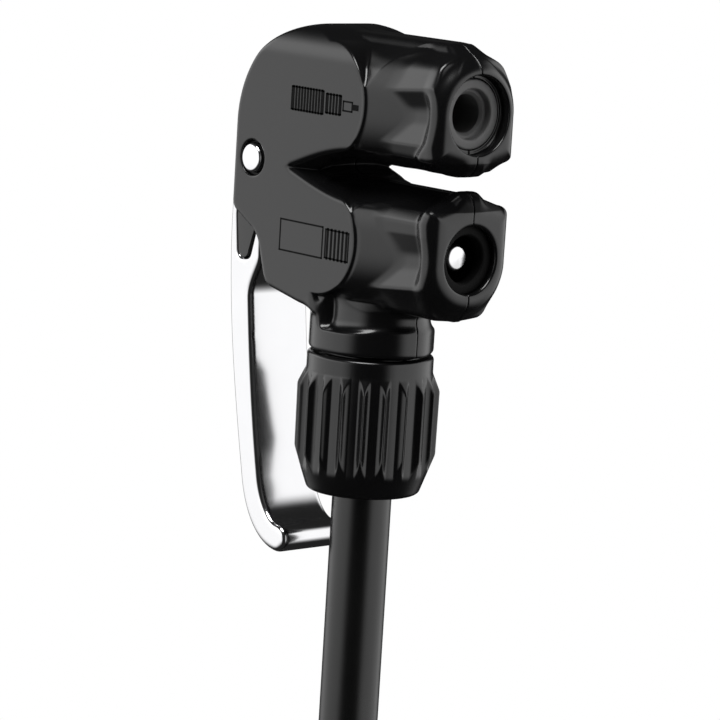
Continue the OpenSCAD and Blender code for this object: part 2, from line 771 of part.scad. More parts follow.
// Fluted hand nut
module clamp_nut() color(shell_black) at_pivot() translate([0, hose_y, 0]) {
    band = 3.2;
    cone = 2.9;
    foot = 7.1;
    edge = 0.8;
    grip_taper = 0.1;
    flute_out = 0.25;
    flute_ring_r = nut_d / 2 + flute_out;
    difference() {
        rotate_extrude($fn = 96) polygon([
            [nut_bore_r, nut_top], [nut_top_d / 2 - edge / 2, nut_top],
            [nut_top_d / 2, nut_top - edge / 2],
            [nut_top_d / 2, nut_top - band], [nut_d / 2, nut_top - band - cone],
            [nut_d / 2 - grip_taper, nut_bottom + foot], [nut_foot_d / 2, nut_bottom + edge],
            [nut_foot_d / 2 - edge, nut_bottom], [nut_hole_r, nut_bottom],
            [nut_hole_r, nut_bottom + nut_lip], [nut_pocket_r, nut_bottom + nut_lip],
            [nut_pocket_r, sleeve_top + run_gap], [nut_bore_r, sleeve_top + run_gap]]);
        for (i = [0 : flutes - 1]) rotate(i * full_turn / flutes)
            translate([flute_ring_r, 0, nut_bottom - over]) cylinder(d = flute_d, h = nut_length + 2 * over);
    }
}

// Straight run of the hose
module hose() color(rubber_black) at_pivot() translate([0, hose_y, coil_z + hose_d]) difference() {
    run = hose_top - coil_z - hose_d;
    cylinder(d = hose_d, h = run);
    translate([0, 0, -over]) cylinder(d = hose_bore, h = run + 2 * over);
}

// Middle line of the coil: one diameter straight down, the turns side by side, and the straight tail
coil_line = concat(
    [[0, 0, hose_d]],
    [for (i = [0 : coil_turns * coil_rings]) let (t = i / coil_rings)
        [hose_pitch * t, coil_r * (1 - cos(full_turn * t)), -coil_r * sin(full_turn * t)]],
    [[hose_pitch * coil_turns, 0, -tail_length + hose_d], [hose_pitch * coil_turns, 0, -tail_length]]);
coil_last = len(coil_line) - 1;

// Least space between rings that lie half a turn or more apart
coil_space = min([for (i = [0 : coil_last]) for (j = [i + coil_rings / 2 : 1 : coil_last])
    norm(coil_line[i] - coil_line[j])]) - hose_d;
echo(least_gap_between_coil_turns = coil_space);

function ring_points(centre, ahead, sides, r) =
    let (nudge = 0.001, side = unit(cross(ahead, [1, nudge, 0])), up = cross(side, ahead))
    [for (k = [0 : sides - 1]) let (a = full_turn * k / sides) centre + r * (cos(a) * side + sin(a) * up)];

module hose_coil() color(rubber_black) at_pivot() translate([0, hose_y, coil_z]) {
    n = coil_sides;
    ahead = function(i) i <= 1 || i >= coil_last - 1 ? [0, 0, -1] :
        unit(coil_line[i + 1] - coil_line[i - 1]);
    points = [for (i = [0 : coil_last]) each ring_points(coil_line[i], ahead(i), n, hose_d / 2)];
    sides = [for (i = [0 : coil_last - 1]) for (k = [0 : n - 1]) each
        let (a = i * n + k, b = i * n + (k + 1) % n) [[a, b, b + n], [a, b + n, a + n]]];
    far = coil_last * n;
    caps = [for (k = [1 : n - 2]) each [[0, k + 1, k], [far, far + k, far + k + 1]]];
    polyhedron(points, concat(sides, caps));
}

// Strap round the hose runs, where the coil starts
module hose_tie() color(rubber_black) at_pivot() translate([0, hose_y, 0]) {
    inner = hose_d / 2 + tie_gap;
    translate([0, 0, coil_z - tie_height / 2]) difference() {
        tie_form(inner + tie_t, tie_height, 0);
        tie_form(inner, tie_height + 2 * over, -over);
    }
}

// Flat-sided ring form round all the runs that lie side by side
module tie_form(r, h, z) {
    for (x = [0, hose_pitch * coil_turns]) translate([x, 0, z]) cylinder(r = r, h = h);
    translate([0, -r, z]) cube([hose_pitch * coil_turns, 2 * r, h]);
}

tail_end = coil_z - tail_length;

module at_tail() translate([hose_pitch * coil_turns, hose_y, tail_end]) children();

// Crimped collar over the hose's end
module hose_ferrule() color(steel) at_pivot() at_tail() {
    waist = 0.4;
    bands = 5;
    bead = ferrule_length / bands;
    rotate_extrude() polygon([
        [hose_d / 2 + seat_gap, 0], [ferrule_r, 0], [ferrule_r, bead], [ferrule_r - waist, bead + waist],
        [ferrule_r - waist, 2 * bead - waist], [ferrule_r, 2 * bead], [ferrule_r, 3 * bead],
        [ferrule_r - waist, 3 * bead + waist], [ferrule_r - waist, 4 * bead - waist],
        [ferrule_r, 4 * bead], [ferrule_r, ferrule_length - waist],
        [ferrule_r - waist, ferrule_length], [hose_d / 2 + seat_gap, ferrule_length]]);
}

// End fitting: flange against the hose, hexagon and spigot
module hose_fitting() color(brass) at_pivot() at_tail() difference() {
    union() {
        translate([0, 0, -fitting_flange_t]) cylinder(r = ferrule_r, h = fitting_flange_t);
        translate([0, 0, -fitting_flange_t - hex_t]) cylinder(d = hex_d, h = hex_t, $fn = 6);
        translate([0, 0, -fitting_flange_t - hex_t - washer_t]) cylinder(r = relief_r, h = washer_t);
        translate([0, 0, -fitting_flange_t - hex_t - spigot_length])
            cylinder(d = spigot_d, h = spigot_length - washer_t);
    }
    translate([0, 0, -fitting_flange_t - hex_t - spigot_length - over])
        cylinder(r = shank_r, h = spigot_length + hex_t + fitting_flange_t);
}

module fitting_seal() color(rubber_black) at_pivot() at_tail()
    translate([0, 0, -fitting_flange_t - hex_t - washer_t]) difference() {
        cylinder(r = washer_r, h = washer_t);
        translate([0, 0, -over]) cylinder(r = relief_r + seat_gap, h = washer_t + 2 * over);
    }

left_shell();
right_shell();
valve_block();
presta_grommet();
schrader_grommet();
presta_plunger();
schrader_plunger();
presta_push_plate();
schrader_push_plate();
presta_seal();
schrader_seal();
schrader_depressor();
lever();
lever_cam();
pivot_pin();
hose_stem();
stem_seal();
compression_sleeve();
clamp_nut();
hose();
hose_coil();
hose_tie();
hose_ferrule();
hose_fitting();
fitting_seal();
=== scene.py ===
"""Looks of a twin-port tyre pump head with a thumb lever, a fluted hose nut and its hose."""

import json
import math

import bpy
import numpy as np
import openvdb
from mathutils import Matrix, Vector


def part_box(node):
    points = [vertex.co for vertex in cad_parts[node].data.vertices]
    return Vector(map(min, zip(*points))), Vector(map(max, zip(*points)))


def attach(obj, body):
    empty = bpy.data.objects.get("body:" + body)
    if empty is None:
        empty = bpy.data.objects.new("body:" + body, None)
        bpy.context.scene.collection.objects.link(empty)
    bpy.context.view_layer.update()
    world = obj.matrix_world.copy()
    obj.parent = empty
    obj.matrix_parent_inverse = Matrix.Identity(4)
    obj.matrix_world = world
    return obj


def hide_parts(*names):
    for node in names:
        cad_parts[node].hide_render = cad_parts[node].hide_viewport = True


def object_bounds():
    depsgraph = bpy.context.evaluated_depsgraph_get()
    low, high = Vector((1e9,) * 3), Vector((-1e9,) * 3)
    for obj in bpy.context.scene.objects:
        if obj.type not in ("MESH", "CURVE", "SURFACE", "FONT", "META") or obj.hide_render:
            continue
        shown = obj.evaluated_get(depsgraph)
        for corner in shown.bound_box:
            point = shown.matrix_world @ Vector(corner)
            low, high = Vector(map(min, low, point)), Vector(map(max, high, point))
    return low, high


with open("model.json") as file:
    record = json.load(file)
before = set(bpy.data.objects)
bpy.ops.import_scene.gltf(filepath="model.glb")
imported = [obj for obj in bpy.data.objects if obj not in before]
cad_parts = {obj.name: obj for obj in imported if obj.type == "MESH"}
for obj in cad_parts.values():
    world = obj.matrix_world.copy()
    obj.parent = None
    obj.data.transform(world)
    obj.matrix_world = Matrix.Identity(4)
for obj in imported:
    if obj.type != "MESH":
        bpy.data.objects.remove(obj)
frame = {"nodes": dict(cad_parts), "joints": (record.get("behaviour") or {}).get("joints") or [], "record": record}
cad_low, cad_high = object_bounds()

MM = 0.001

# Places taken from the frame, in millimetres from the lever's pivot
joints = {joint["name"]: joint for joint in frame["joints"]}
mounts = {mount["name"]: mount for mount in frame["record"]["mounts"]}
PIVOT = np.array(joints["lever_swing"]["pos_m"]) / MM


def from_pivot(point):
    """A point of the row frame in metres, as millimetres from the pivot."""
    return np.array(point, float) / MM - PIVOT


def node_box(node):
    """Lowest and highest corner of a CAD node, in millimetres from the pivot."""
    low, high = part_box(node)
    return from_pivot(low), from_pivot(high)


shell_low, shell_high = node_box("left_shell")
nut_low, nut_high = node_box("clamp_nut")
lever_low, lever_high = node_box("lever")
pin_high = node_box("pivot_pin")[1]
coil_low, coil_high = node_box("hose_coil")
hose_low, hose_high = node_box("hose")
tie_low, tie_high = node_box("hose_tie")
CHEEK_HALF = -shell_low[0]
FACE_Y = shell_low[1]
HEAD_TOP = shell_high[2]
HEAD_BACK = shell_high[1]
PORT_Z = from_pivot(mounts["presta_port"]["pos_m"])[2]
HOSE_Y = from_pivot(joints["nut_turn"]["pos_m"])[1]
LEVER_HALF = lever_high[0]
HOSE_R = (hose_high[0] - hose_low[0]) / 2
SWING = math.radians(joints["lever_swing"]["range_deg"][1])


# Distance fields: numpy arrays of signed distances in millimetres, negative inside

def soft_min(a, b, k):
    """Union of two fields with a fillet about k wide."""
    h = np.maximum(k - np.abs(a - b), 0) / k
    return np.minimum(a, b) - h * h * k / 4


def soft_max(a, b, k):
    """Intersection of two fields with its edge rounded over about k."""
    h = np.maximum(k - np.abs(a - b), 0) / k
    return np.maximum(a, b) + h * h * k / 4


def cut(body, tool, k):
    """The body with the tool's room taken out and the rim rounded over about k."""
    return soft_max(body, -tool, k)


def span(value, low, high):
    """Distance outside the stretch from low to high."""
    return np.maximum(low - value, value - high)


def ease(value, low, high):
    """Smooth rise from 0 at low to 1 at high."""
    t = np.clip((value - low) / (high - low), 0, 1)
    return t * t * (3 - 2 * t)


def rounded(marks, closed=True, step=0.25):
    """Points of an outline from (u, v, radius) corners, with arcs cut about every step."""
    points = []
    count = len(marks)
    for i, (u, v, radius) in enumerate(marks):
        here = np.array([u, v], float)
        ends = not closed and i in (0, count - 1)
        if radius <= 0 or ends:
            points.append(here)
            continue
        back = np.array(marks[i - 1][:2], float) - here
        ahead = np.array(marks[(i + 1) % count][:2], float) - here
        back /= np.linalg.norm(back)
        ahead /= np.linalg.norm(ahead)
        half = math.acos(np.clip(back @ ahead, -1, 1)) / 2
        middle = (back + ahead) / np.linalg.norm(back + ahead)
        centre = here + middle * radius / math.sin(half)
        start = here + back * radius / math.tan(half) - centre
        stop = here + ahead * radius / math.tan(half) - centre
        arc = math.atan2(start[0] * stop[1] - start[1] * stop[0], start @ stop)
        pieces = max(2, math.ceil(abs(arc) * radius / step))
        for j in range(pieces + 1):
            c = math.cos(arc * j / pieces)
            s = math.sin(arc * j / pieces)
            points.append(centre + np.array([c * start[0] - s * start[1], s * start[0] + c * start[1]]))
    return np.array(points)


def cubic(a, b, c, d, steps):
    """Points of a cubic curve from a to d."""
    t = np.linspace(0, 1, steps + 1)[:, None]
    s = 1 - t
    a, b, c, d = (np.array(p, float) for p in (a, b, c, d))
    return s ** 3 * a + 3 * s * s * t * b + 3 * s * t * t * c + t ** 3 * d


def outline_distance(points, u, v):
    """Signed distance to a closed outline, on broadcast coordinate arrays."""
    shape = np.broadcast(u, v).shape
    best = np.full(shape, np.inf, np.float32)
    inside = np.zeros(shape, bool)
    for (u0, v0), (u1, v1) in zip(points, np.roll(points, -1, axis=0)):
        du, dv = u1 - u0, v1 - v0
        length = du * du + dv * dv
        if length == 0:
            continue
        t = np.clip(((u - u0) * du + (v - v0) * dv) / length, 0, 1)
        best = np.minimum(best, (u - u0 - t * du) ** 2 + (v - v0 - t * dv) ** 2)
        if dv != 0:
            inside ^= ((v0 <= v) != (v1 <= v)) & (u < u0 + (v - v0) * du / dv)
    return np.where(inside, -1, 1) * np.sqrt(best)


def axes(low, high, step):
    """Coordinate arrays of a grid, ready to broadcast."""
    lines = [np.arange(a, b + step, step, dtype=np.float32) for a, b in zip(low, high)]
    return lines[0][:, None, None], lines[1][None, :, None], lines[2][None, None, :]


def sample(field, places):
    """Field values at fractional grid places."""
    base = np.clip(places.astype(int), 0, np.array(field.shape) - 2)
    t = places - base
    total = 0
    for corner in np.ndindex(2, 2, 2):
        weight = np.prod(np.where(corner, t, 1 - t), axis=1)
        i, j, k = (base + corner).T
        total = total + weight * field[i, j, k]
    return total


def mesh_object(name, points, faces, normals=None):
    """A mesh object from points in millimetres from the pivot."""
    mesh = bpy.data.meshes.new(name)
    mesh.from_pydata(((np.asarray(points) + PIVOT) * MM).tolist(), [], np.asarray(faces).tolist())
    mesh.update()
    mesh.shade_smooth()
    if normals is not None:
        mesh.normals_split_custom_set_from_vertices(normals.tolist())
    made = bpy.data.objects.new(name, mesh)
    bpy.context.scene.collection.objects.link(made)
    return made


def field_mesh(field, low, step):
    """Points, faces and normals of a field's zero surface."""
    band_cells, nudges, least_steepness, longest_nudge, tiny = 3, 2, 0.3, 0.5, 1e-6
    band = band_cells * step
    field = np.ascontiguousarray(field, np.float32)
    grid = openvdb.FloatGrid(band)
    grid.copyFromArray(np.clip(field, -band, band))
    places, faces = grid.convertToQuads(0.0)
    slopes = [part / step for part in np.gradient(field)]
    for _ in range(nudges):
        normals = np.stack([sample(part, places) for part in slopes], axis=1)
        steepness = np.maximum(np.linalg.norm(normals, axis=1, keepdims=True), least_steepness)
        normals = normals / steepness
        miss = sample(field, places)[:, None] / steepness / step
        places = places - normals * np.clip(miss, -longest_nudge, longest_nudge)
    normals = np.stack([sample(part, places) for part in slopes], axis=1)
    normals /= np.maximum(np.linalg.norm(normals, axis=1, keepdims=True), tiny)
    return places * step + np.array(low), faces, normals


# Head form: x across, y from the ports towards the rear, z up

GRID_STEP = 0.2
GRID_MARGIN = 1.0
SLOT_TOP = 2.0
SLOT_BOTTOM = -1.1
SLOT_END = -15
NECK_TOP = -16
RING_TOP = -27.6
RING_BOTTOM = -31.2
THREAD_BOTTOM = -42.2
KEEL_TOP = HEAD_TOP - 1.0
KEEL_CROWN = KEEL_TOP + 0.2
BARREL_FRONT = FACE_Y + 2.5
BARREL_HALF = 8.9
FLARE_HALF = CHEEK_HALF - 0.1
PRESTA_DEPTH = 2.3
SCHRADER_DEPTH = 1.5
GROMMET_SEAT = FACE_Y + 11

# Outlines of half a cross-section run past the middle plane to here
PAST_MIDDLE = -6

# Middle of the cheeks' round front edges, and the height and radius of each
FRONT_Y = -18.4
FRONTS = ((12.1, 10.4), (-11.6, 9.9))


def front_arcs(y, z):
    """Distance outside the round front edges of a cheek, seen from the side."""
    return np.minimum(*(np.hypot(y - FRONT_Y, z - middle) - radius for middle, radius in FRONTS))


def cheeks(x, y, z):
    """The two flat cheeks with their round front edges, round top and cut-away rear."""
    floor = -24.3
    brow_r, side_edge, front_edge = 7, 1.2, 0.4
    outline = rounded([
        (-13.5, HEAD_TOP, 14), (HEAD_BACK, HEAD_TOP, 19), (HEAD_BACK, -9.2, 2.2), (-2.0, -13.3, 5),
        (-4.8, -21.8, 3), (-14, -23.7, 4), (FRONT_Y, floor, 0), (FRONT_Y, 0, 0), (-24.2, 20.4, 2)])
    side = outline_distance(outline, y, z)
    across = x - (CHEEK_HALF - brow_r)
    upward = z - (HEAD_TOP - brow_r)
    corner = np.hypot(np.maximum(across, 0), np.maximum(upward, 0))
    brow = corner + np.minimum(np.maximum(across, upward), 0) - brow_r
    return np.minimum(soft_max(side, brow, side_edge), soft_max(front_arcs(y, z), brow, front_edge))


def barrel(x, y, z, marks):
    """A barrel of one cross-section, whose side groove climbs a little towards the port."""
    slope, level_y, rear, edge = 0.1, -35, -14, 0.8
    fade_in, fade_out = (4, 14), (19, 22)
    grooved = ease(np.abs(z), *fade_in) * (1 - ease(np.abs(z), *fade_out))
    climb = slope * (level_y - y) * grooved
    return soft_max(outline_distance(rounded(marks), x, z - climb), span(y, BARREL_FRONT, rear), edge)


def skirt(x, y, z):
    """Slope that lets each barrel's side groove run out at the cheek's round edge."""
    start, slope = 0.2, 0.42
    reaches = [np.sqrt(np.maximum(radius ** 2 - (z - middle) ** 2, 0)) for middle, radius in FRONTS]
    ahead = FRONT_Y - np.maximum(*reaches) - y
    sink = start + slope * np.maximum(ahead, 0) + np.maximum(-ahead - start, 0)
    return (x - CHEEK_HALF + sink) / math.hypot(1, slope)


def barrels(x, y, z):
    """Both barrels with their side grooves, which the skirt fills towards the cheeks."""
    fillet = 0.6
    upper_top = [
        (PAST_MIDDLE, KEEL_CROWN, 0), (2.7, KEEL_TOP, 0.9), (3.8, 22.3, 1.2), (7.0, 20.2, 5),
        (BARREL_HALF, 15.7, 1.0)]
    upper_groove = [(7.1, 11.3, 5)]
    upper_foot = [(8.7, 6.7, 0.7), (8.0, 4.4, 0.8), (5.6, SLOT_TOP, 2.0), (PAST_MIDDLE, SLOT_TOP, 0)]
    lower_top = [
        (PAST_MIDDLE, SLOT_BOTTOM, 0), (1.5, SLOT_BOTTOM, 2.0), (7.6, -4.1, 0.8), (8.8, -6.2, 1.2),
        (8.5, -8.5, 0.7)]
    lower_groove = [(7.0, -13.4, 6)]
    lower_foot = [(8.6, -18.1, 0.9), (5.8, -22.7, 2.6), (PAST_MIDDLE, -23.3, 0)]
    upper = barrel(x, y, z, upper_top + upper_groove + upper_foot)
    lower = barrel(x, y, z, lower_top + lower_groove + lower_foot)
    narrowed = x * BARREL_HALF / FLARE_HALF
    full = np.minimum(
        barrel(narrowed, y, z, upper_top + upper_foot), barrel(narrowed, y, z, lower_top + lower_foot))
    return soft_min(np.minimum(upper, lower), np.maximum(full, skirt(x, y, z)), fillet)


def keel_fall(y, z):
    """Distance above the upper barrel's top line, which falls towards the port."""
    drop, run, scale = 2.7, 4, 0.83
    start = FACE_Y + 6
    return (z - KEEL_CROWN - drop / run * np.minimum(y - start, 0)) * scale


def collar(x, y, z, marks, length):
    """A collar round one port, with a rounded front edge and a soft rear edge."""
    front_edge, rear_edge = 3.2, 1.5
    form = outline_distance(rounded(marks), x, z)
    form = soft_max(form, FACE_Y - y, front_edge)
    return soft_max(form, y - (FACE_Y + length), rear_edge)


def collars(x, y, z):
    """The collars round both ports. The upper one reaches further back at its foot."""
    half, corner_r, length, foot_gain = 9.1, 8.9, 3.4, 2.2
    foot_low, foot_high = 4.5, 7.5
    top, bottom = PORT_Z + 8.9, -PORT_Z - 9.6
    upper_length = length + foot_gain * ease(-z, -foot_high, -foot_low)
    upper = collar(x, y, z, [
        (PAST_MIDDLE, top, 0), (half, top, corner_r), (half, 4.4, 0.8), (7.4, 4.2, 1.2), (3.8, 3.2, 1.5),
        (2.2, SLOT_TOP, 0.8), (PAST_MIDDLE, SLOT_TOP, 0)], upper_length)
    lower = collar(x, y, z, [
        (PAST_MIDDLE, bottom, 0), (half, bottom, corner_r), (half, -3.2, 1.4), (7.4, -3.5, 1.2),
        (3.8, -2.6, 1.5), (2.2, SLOT_BOTTOM, 0.8), (PAST_MIDDLE, SLOT_BOTTOM, 0)], length)
    return np.minimum(upper, lower)


def slot_room(x, y, z):
    """The gap between the barrels, which opens out and runs to a long point on each cheek."""
    tip_z, tip_length, tip_reach, tip_inner = -0.4, 18.0, 4.8, 7.6
    tip_rise, tip_fall = 4.5, 3.9
    end_round = 1.5
    rise_x, rise_width = 5.4, 3.1
    fall_x, fall_width = 1.5, 7.0
    flank_scale, end_scale = 0.9, 0.8
    end = SLOT_END + tip_reach * ease(x, tip_inner, FLARE_HALF)
    taper = np.sin(np.clip((end - y) / tip_length, 0, 1) * math.pi / 2)
    short = np.sqrt(np.clip((SLOT_END - y) / end_round, 0, 1))
    middle = (SLOT_TOP + SLOT_BOTTOM) / 2
    half = (SLOT_TOP - SLOT_BOTTOM) / 2
    rise = np.clip((x - rise_x) / rise_width, 0, 1)
    fall = np.clip((x - fall_x) / fall_width, 0, 1)
    top = (middle + half * short) * (1 - rise) + (tip_z + tip_rise * taper) * rise
    bottom = (middle - half * short) * (1 - fall) + (tip_z - tip_fall * taper) * fall
    return flank_scale * np.maximum(z - top, bottom - z) + end_scale * np.maximum(y - end, 0)


def screw(angle, height, pitch):
    """Triangle wave of a thread, from 0 on its crests to 1 in its roots."""
    return np.abs((height / pitch - angle / (2 * math.pi)) % 1 - 0.5) * 2


def neck(x, y, z):
    """The neck with a scoop round each side and a fuller front, and its thread."""
    radius, ring_edge = 10.95, 0.8
    lobe_out, lobe_from, lobe_to = 0.9, 50, 90
    flat_half, flat_gain, flat_top, flat_foot, flat_edge = 7.9, 3.2, -19, -24.5, 1.0
    ledge, ledge_fillet, scoop_rim = RING_TOP + 0.3, 2.8, 0.35
    scoop_front, scoop_rear, scoop_blend = -85, 10, 9
    deep_r, shallow_r = 8.3, 11.2
    thread_r, pitch, depth, overlap = 9.2, 1.5, 0.55, 1
    out = np.hypot(x, y - HOSE_Y)
    angle = np.arctan2(y - HOSE_Y, x)
    degrees = np.degrees(angle)
    lobe = lobe_out * ease(-degrees, lobe_from, lobe_to)
    column = soft_max(out - radius - lobe, span(z, RING_BOTTOM, NECK_TOP), ring_edge)
    flat = x - flat_half - flat_gain * ease(-z, -flat_top, -flat_foot)
    column = soft_max(column, flat, flat_edge)
    forward = (scoop_rear - degrees) / (scoop_rear - scoop_front)
    rearward = ease(degrees, scoop_rear - scoop_blend, scoop_rear + scoop_blend)
    wall_r = deep_r + (shallow_r - deep_r) * np.maximum(forward, rearward)
    scoop = soft_max(wall_r - out, ledge - z, ledge_fillet)
    column = cut(column, scoop, scoop_rim)
    thread = out - thread_r + depth * screw(angle, z, pitch)
    return np.minimum(column, np.maximum(thread, span(z, THREAD_BOTTOM, RING_BOTTOM + overlap)))


def head_form(x, y, z):
    """Outer form of both shells together."""
    keel_edge, cheek_fillet, neck_fillet, slot_edge, collar_fillet = 1.0, 0.6, 1.6, 1.2, 2.0
    form = soft_max(barrels(x, y, z), keel_fall(y, z), keel_edge)
    form = soft_min(cheeks(x, y, z), form, cheek_fillet)
    form = soft_min(form, neck(x, y, z), neck_fillet)
    form = cut(form, slot_room(x, y, z), slot_edge)
    return soft_min(form, collars(x, y, z), collar_fillet)


def bore(out, radius, along, low, high):
    """A round room of one radius along a stretch of its axis."""
    return np.maximum(out - radius, span(along, low, high))


def head_room(x, y, z):
    """Room inside the shells for the working pieces, without the rims that show."""
    overlap, hose_gap = 1, 0.1
    seat_y, web_front, web_back, web_half = -35, -13.55, -10.4, 5.05
    plate_front, plate_back, plate_half, plate_reach = -10.8, -4.2, 7.2, 17.9
    grommet_r, tube_r, boss_r, stem_r = 6.05, 5.95, 5.05, 2.9
    boss_foot, stem_top, stem_foot, hose_top = -26.05, -24, -33, -32.4
    plates = np.maximum(x - plate_half, span(y, plate_front, plate_back))
    web = np.maximum(x - web_half, span(y, web_front, web_back))
    rooms = [np.maximum(plates, np.abs(z) - plate_reach), np.maximum(web, np.abs(z) - PORT_Z)]
    for port in (PORT_Z, -PORT_Z):
        out = np.hypot(x, z - port)
        rooms.append(bore(out, grommet_r, y, FACE_Y + overlap, seat_y))
        rooms.append(bore(out, tube_r, y, seat_y - overlap, web_back))
    out = np.hypot(x, y - HOSE_Y)
    rooms.append(bore(out, boss_r, z, boss_foot, -PORT_Z))
    rooms.append(bore(out, stem_r, z, stem_foot, stem_top))
    rooms.append(bore(out, HOSE_R + hose_gap, z, THREAD_BOTTOM - 2 * overlap, hose_top))
    room = rooms[0]
    for other in rooms[1:]:
        room = np.minimum(room, other)
    return room


def lever_room(x, y, z):
    """Room between the cheeks for the lever's hub and its swing."""
    gap, hub_r, low_front, back = 0.3, 8.7, -1.2, 10.4
    rest = np.maximum(low_front - y, z)
    turned_y = math.cos(SWING) * y + math.sin(SWING) * z
    turned_z = -math.sin(SWING) * y + math.cos(SWING) * z
    swung = np.maximum(turned_y - back, turned_z)
    side = np.minimum(np.minimum(rest, swung), np.hypot(y, z) - hub_r)
    return np.maximum(side, x - LEVER_HALF - gap)


def shell_field(x, y, z):
    """One shell half, on the +X side, with its rims and inner room."""
    ahead, lever_rim = 9, 0.8
    pin_r, pin_rim, dish_r, dish_depth, dish_rim = 2.55, 0.1, 3.1, 0.9, 0.5
    mouths = ((PORT_Z, 6.8, PRESTA_DEPTH, 0.5), (-PORT_Z, 5.75, SCHRADER_DEPTH, 0.9))
    x = np.abs(x)
    form = head_form(x, y, z)
    for port, radius, depth, rim in mouths:
        form = cut(form, bore(np.hypot(x, z - port), radius, y, FACE_Y - ahead, FACE_Y + depth), rim)
    out = np.hypot(y, z)
    form = cut(form, np.maximum(out - dish_r, CHEEK_HALF - dish_depth - x), dish_rim)
    form = cut(form, out - pin_r, pin_rim)
    form = cut(form, lever_room(x, y, z), lever_rim)
    return np.maximum(form, -head_room(x, y, z))


def shells():
    """Both shell halves, as mirror images of one field."""
    seam, seam_edge, cells_past_middle = 0.01, 0.07, 3
    low = (-cells_past_middle * GRID_STEP, FACE_Y - GRID_MARGIN, THREAD_BOTTOM - GRID_MARGIN)
    high = (CHEEK_HALF + GRID_MARGIN, HEAD_BACK + GRID_MARGIN, HEAD_TOP + GRID_MARGIN)
    x, y, z = axes(low, high, GRID_STEP)
    field = soft_max(shell_field(x, y, z), seam - x, seam_edge)
    points, faces, normals = field_mesh(field, low, GRID_STEP)
    mirror = np.array([-1, 1, 1])
    right = mesh_object("right_shell_form", points, faces, normals)
    left = mesh_object("left_shell_form", points * mirror, faces[:, ::-1], normals * mirror)
    return left, right


# Lever

LEVER_BACK = 10.0


def lever_outline():
    """Side outline of the lever without its fork's room, as one closed line."""
    root_t, bar_t, toe_t = 8.6, 5.6, 5.0
    root_z, bend_y, bend_rise, toe_y = -8, 0.9, 9.4, -7.2
    root_pull, bend_back, bend_ahead, toe_back = (0.7, -16), (2.7, 12), (-1.15, -5), (4, 0.3)
    fork_foot, fork_top, thin_rise = -26, -18, 30
    steps, cap_steps = 120, 24
    toe_z = lever_low[2] + toe_t / 2
    bend_z = toe_z + bend_rise
    root = np.array([LEVER_BACK - bar_t / 2, root_z])
    bend = np.array([bend_y, bend_z])
    toe = np.array([toe_y, toe_z])
    line = np.concatenate([
        cubic(root, root + root_pull, bend + bend_back, bend, steps),
        cubic(bend, bend + bend_ahead, toe + toe_back, toe, steps)[1:]])
    ahead = np.gradient(line, axis=0)
    ahead /= np.linalg.norm(ahead, axis=1, keepdims=True)
    z = line[:, 1]
    half = (toe_t + (bar_t - toe_t) * ease(z, bend_z, bend_z + thin_rise)) / 2
    fork = (root_t - bar_t) * ease(z, fork_foot, fork_top)
    forward = np.stack([ahead[:, 1], -ahead[:, 0]], axis=1)
    angles = np.linspace(0, math.pi, cap_steps)[1:-1]
    cap = [toe + (math.cos(a) * forward[-1] + math.sin(a) * ahead[-1]) * toe_t / 2 for a in angles]
    front_side = line + forward * (half + fork)[:, None]
    back_side = line - forward * half[:, None]
    return np.concatenate([front_side, cap, back_side[::-1]])


def tongue_outline(gap):
    """Tongue of the cam hub, and the slot that holds it."""
    rear, front, tip_r, tip_y, bottom, taper, corner = 8.0, 2.6, 1.3, 5.9, -17.3, 6.0, 1
    reach = tip_r + gap
    return rounded([
        (rear + gap, 0, 0), (rear + gap, bottom + taper, corner), (tip_y + reach, bottom - reach, tip_r),
        (tip_y - reach, bottom - reach, tip_r), (front - gap, bottom + taper, corner), (front - gap, 0, 0)])


def lever_piece():
    """Lever with its fork round the hub, the slot for the hub's tongue and soft edges."""
    prong_front, prong_foot = 1.4, -9
    hub_r, hub_rim, slot_gap, slot_rim, edge = 8.8, 0.4, 0.05, 0.3, 1.3
    low = lever_low - GRID_MARGIN
    x, y, z = axes(low, lever_high + GRID_MARGIN, GRID_STEP)
    side = outline_distance(lever_outline(), y, z)
    side = np.minimum(side, np.maximum(span(y, prong_front, LEVER_BACK), span(z, prong_foot, 0)))
    side = cut(side, np.hypot(y, z) - hub_r, hub_rim)
    side = cut(side, outline_distance(tongue_outline(slot_gap), y, z), slot_rim)
    field = soft_max(side, np.abs(x) - LEVER_HALF, edge)
    return mesh_object("lever_form", *field_mesh(field, low, GRID_STEP))


# Signs on the left cheek: a narrow stepped stem beside the upper port, a wide stem beside the lower one.
# A box or tip runs from one y to another round a middle height, with half its height; rings add a count.

UPPER_SIGN = 11.7
LOWER_SIGN = -12.3
SIGN_BOXES = [
    (-9.7, -18.4, UPPER_SIGN, 2.1), (-18.8, -23.0, UPPER_SIGN, 1.75), (-23.3, -25.9, UPPER_SIGN, 0.95),
    (-8.6, -20.2, LOWER_SIGN, 2.85), (-20.7, -27.0, LOWER_SIGN, 2.6)]
SIGN_RINGS = [
    (-9.9, -18.2, UPPER_SIGN, 2.2, 11), (-18.9, -22.9, UPPER_SIGN, 1.85, 5),
    (-20.9, -26.8, LOWER_SIGN, 2.75, 6)]
SIGN_TIP = (-25.9, -27.4, UPPER_SIGN, 0.5)


def sign_strips():
    """Corner pairs (y0, z0, y1, z1) of every strip in both signs."""
    line, ring_half = 0.3, 0.26
    strips = []
    for y0, y1, middle, half in SIGN_BOXES:
        top, bottom = middle + half, middle - half
        strips += [
            (y0, top - line, y1, top), (y0, bottom, y1, bottom + line),
            (y0 - line, bottom, y0, top), (y1, bottom, y1 + line, top)]
    for y0, y1, middle, half, count in SIGN_RINGS:
        for i in range(count):
            at = y0 + (y1 - y0) * (i + 0.5) / count
            strips.append((at - ring_half, middle - half, at + ring_half, middle + half))
    y0, y1, middle, half = SIGN_TIP
    return [*strips, (y0, middle - half, y1, middle + half)]


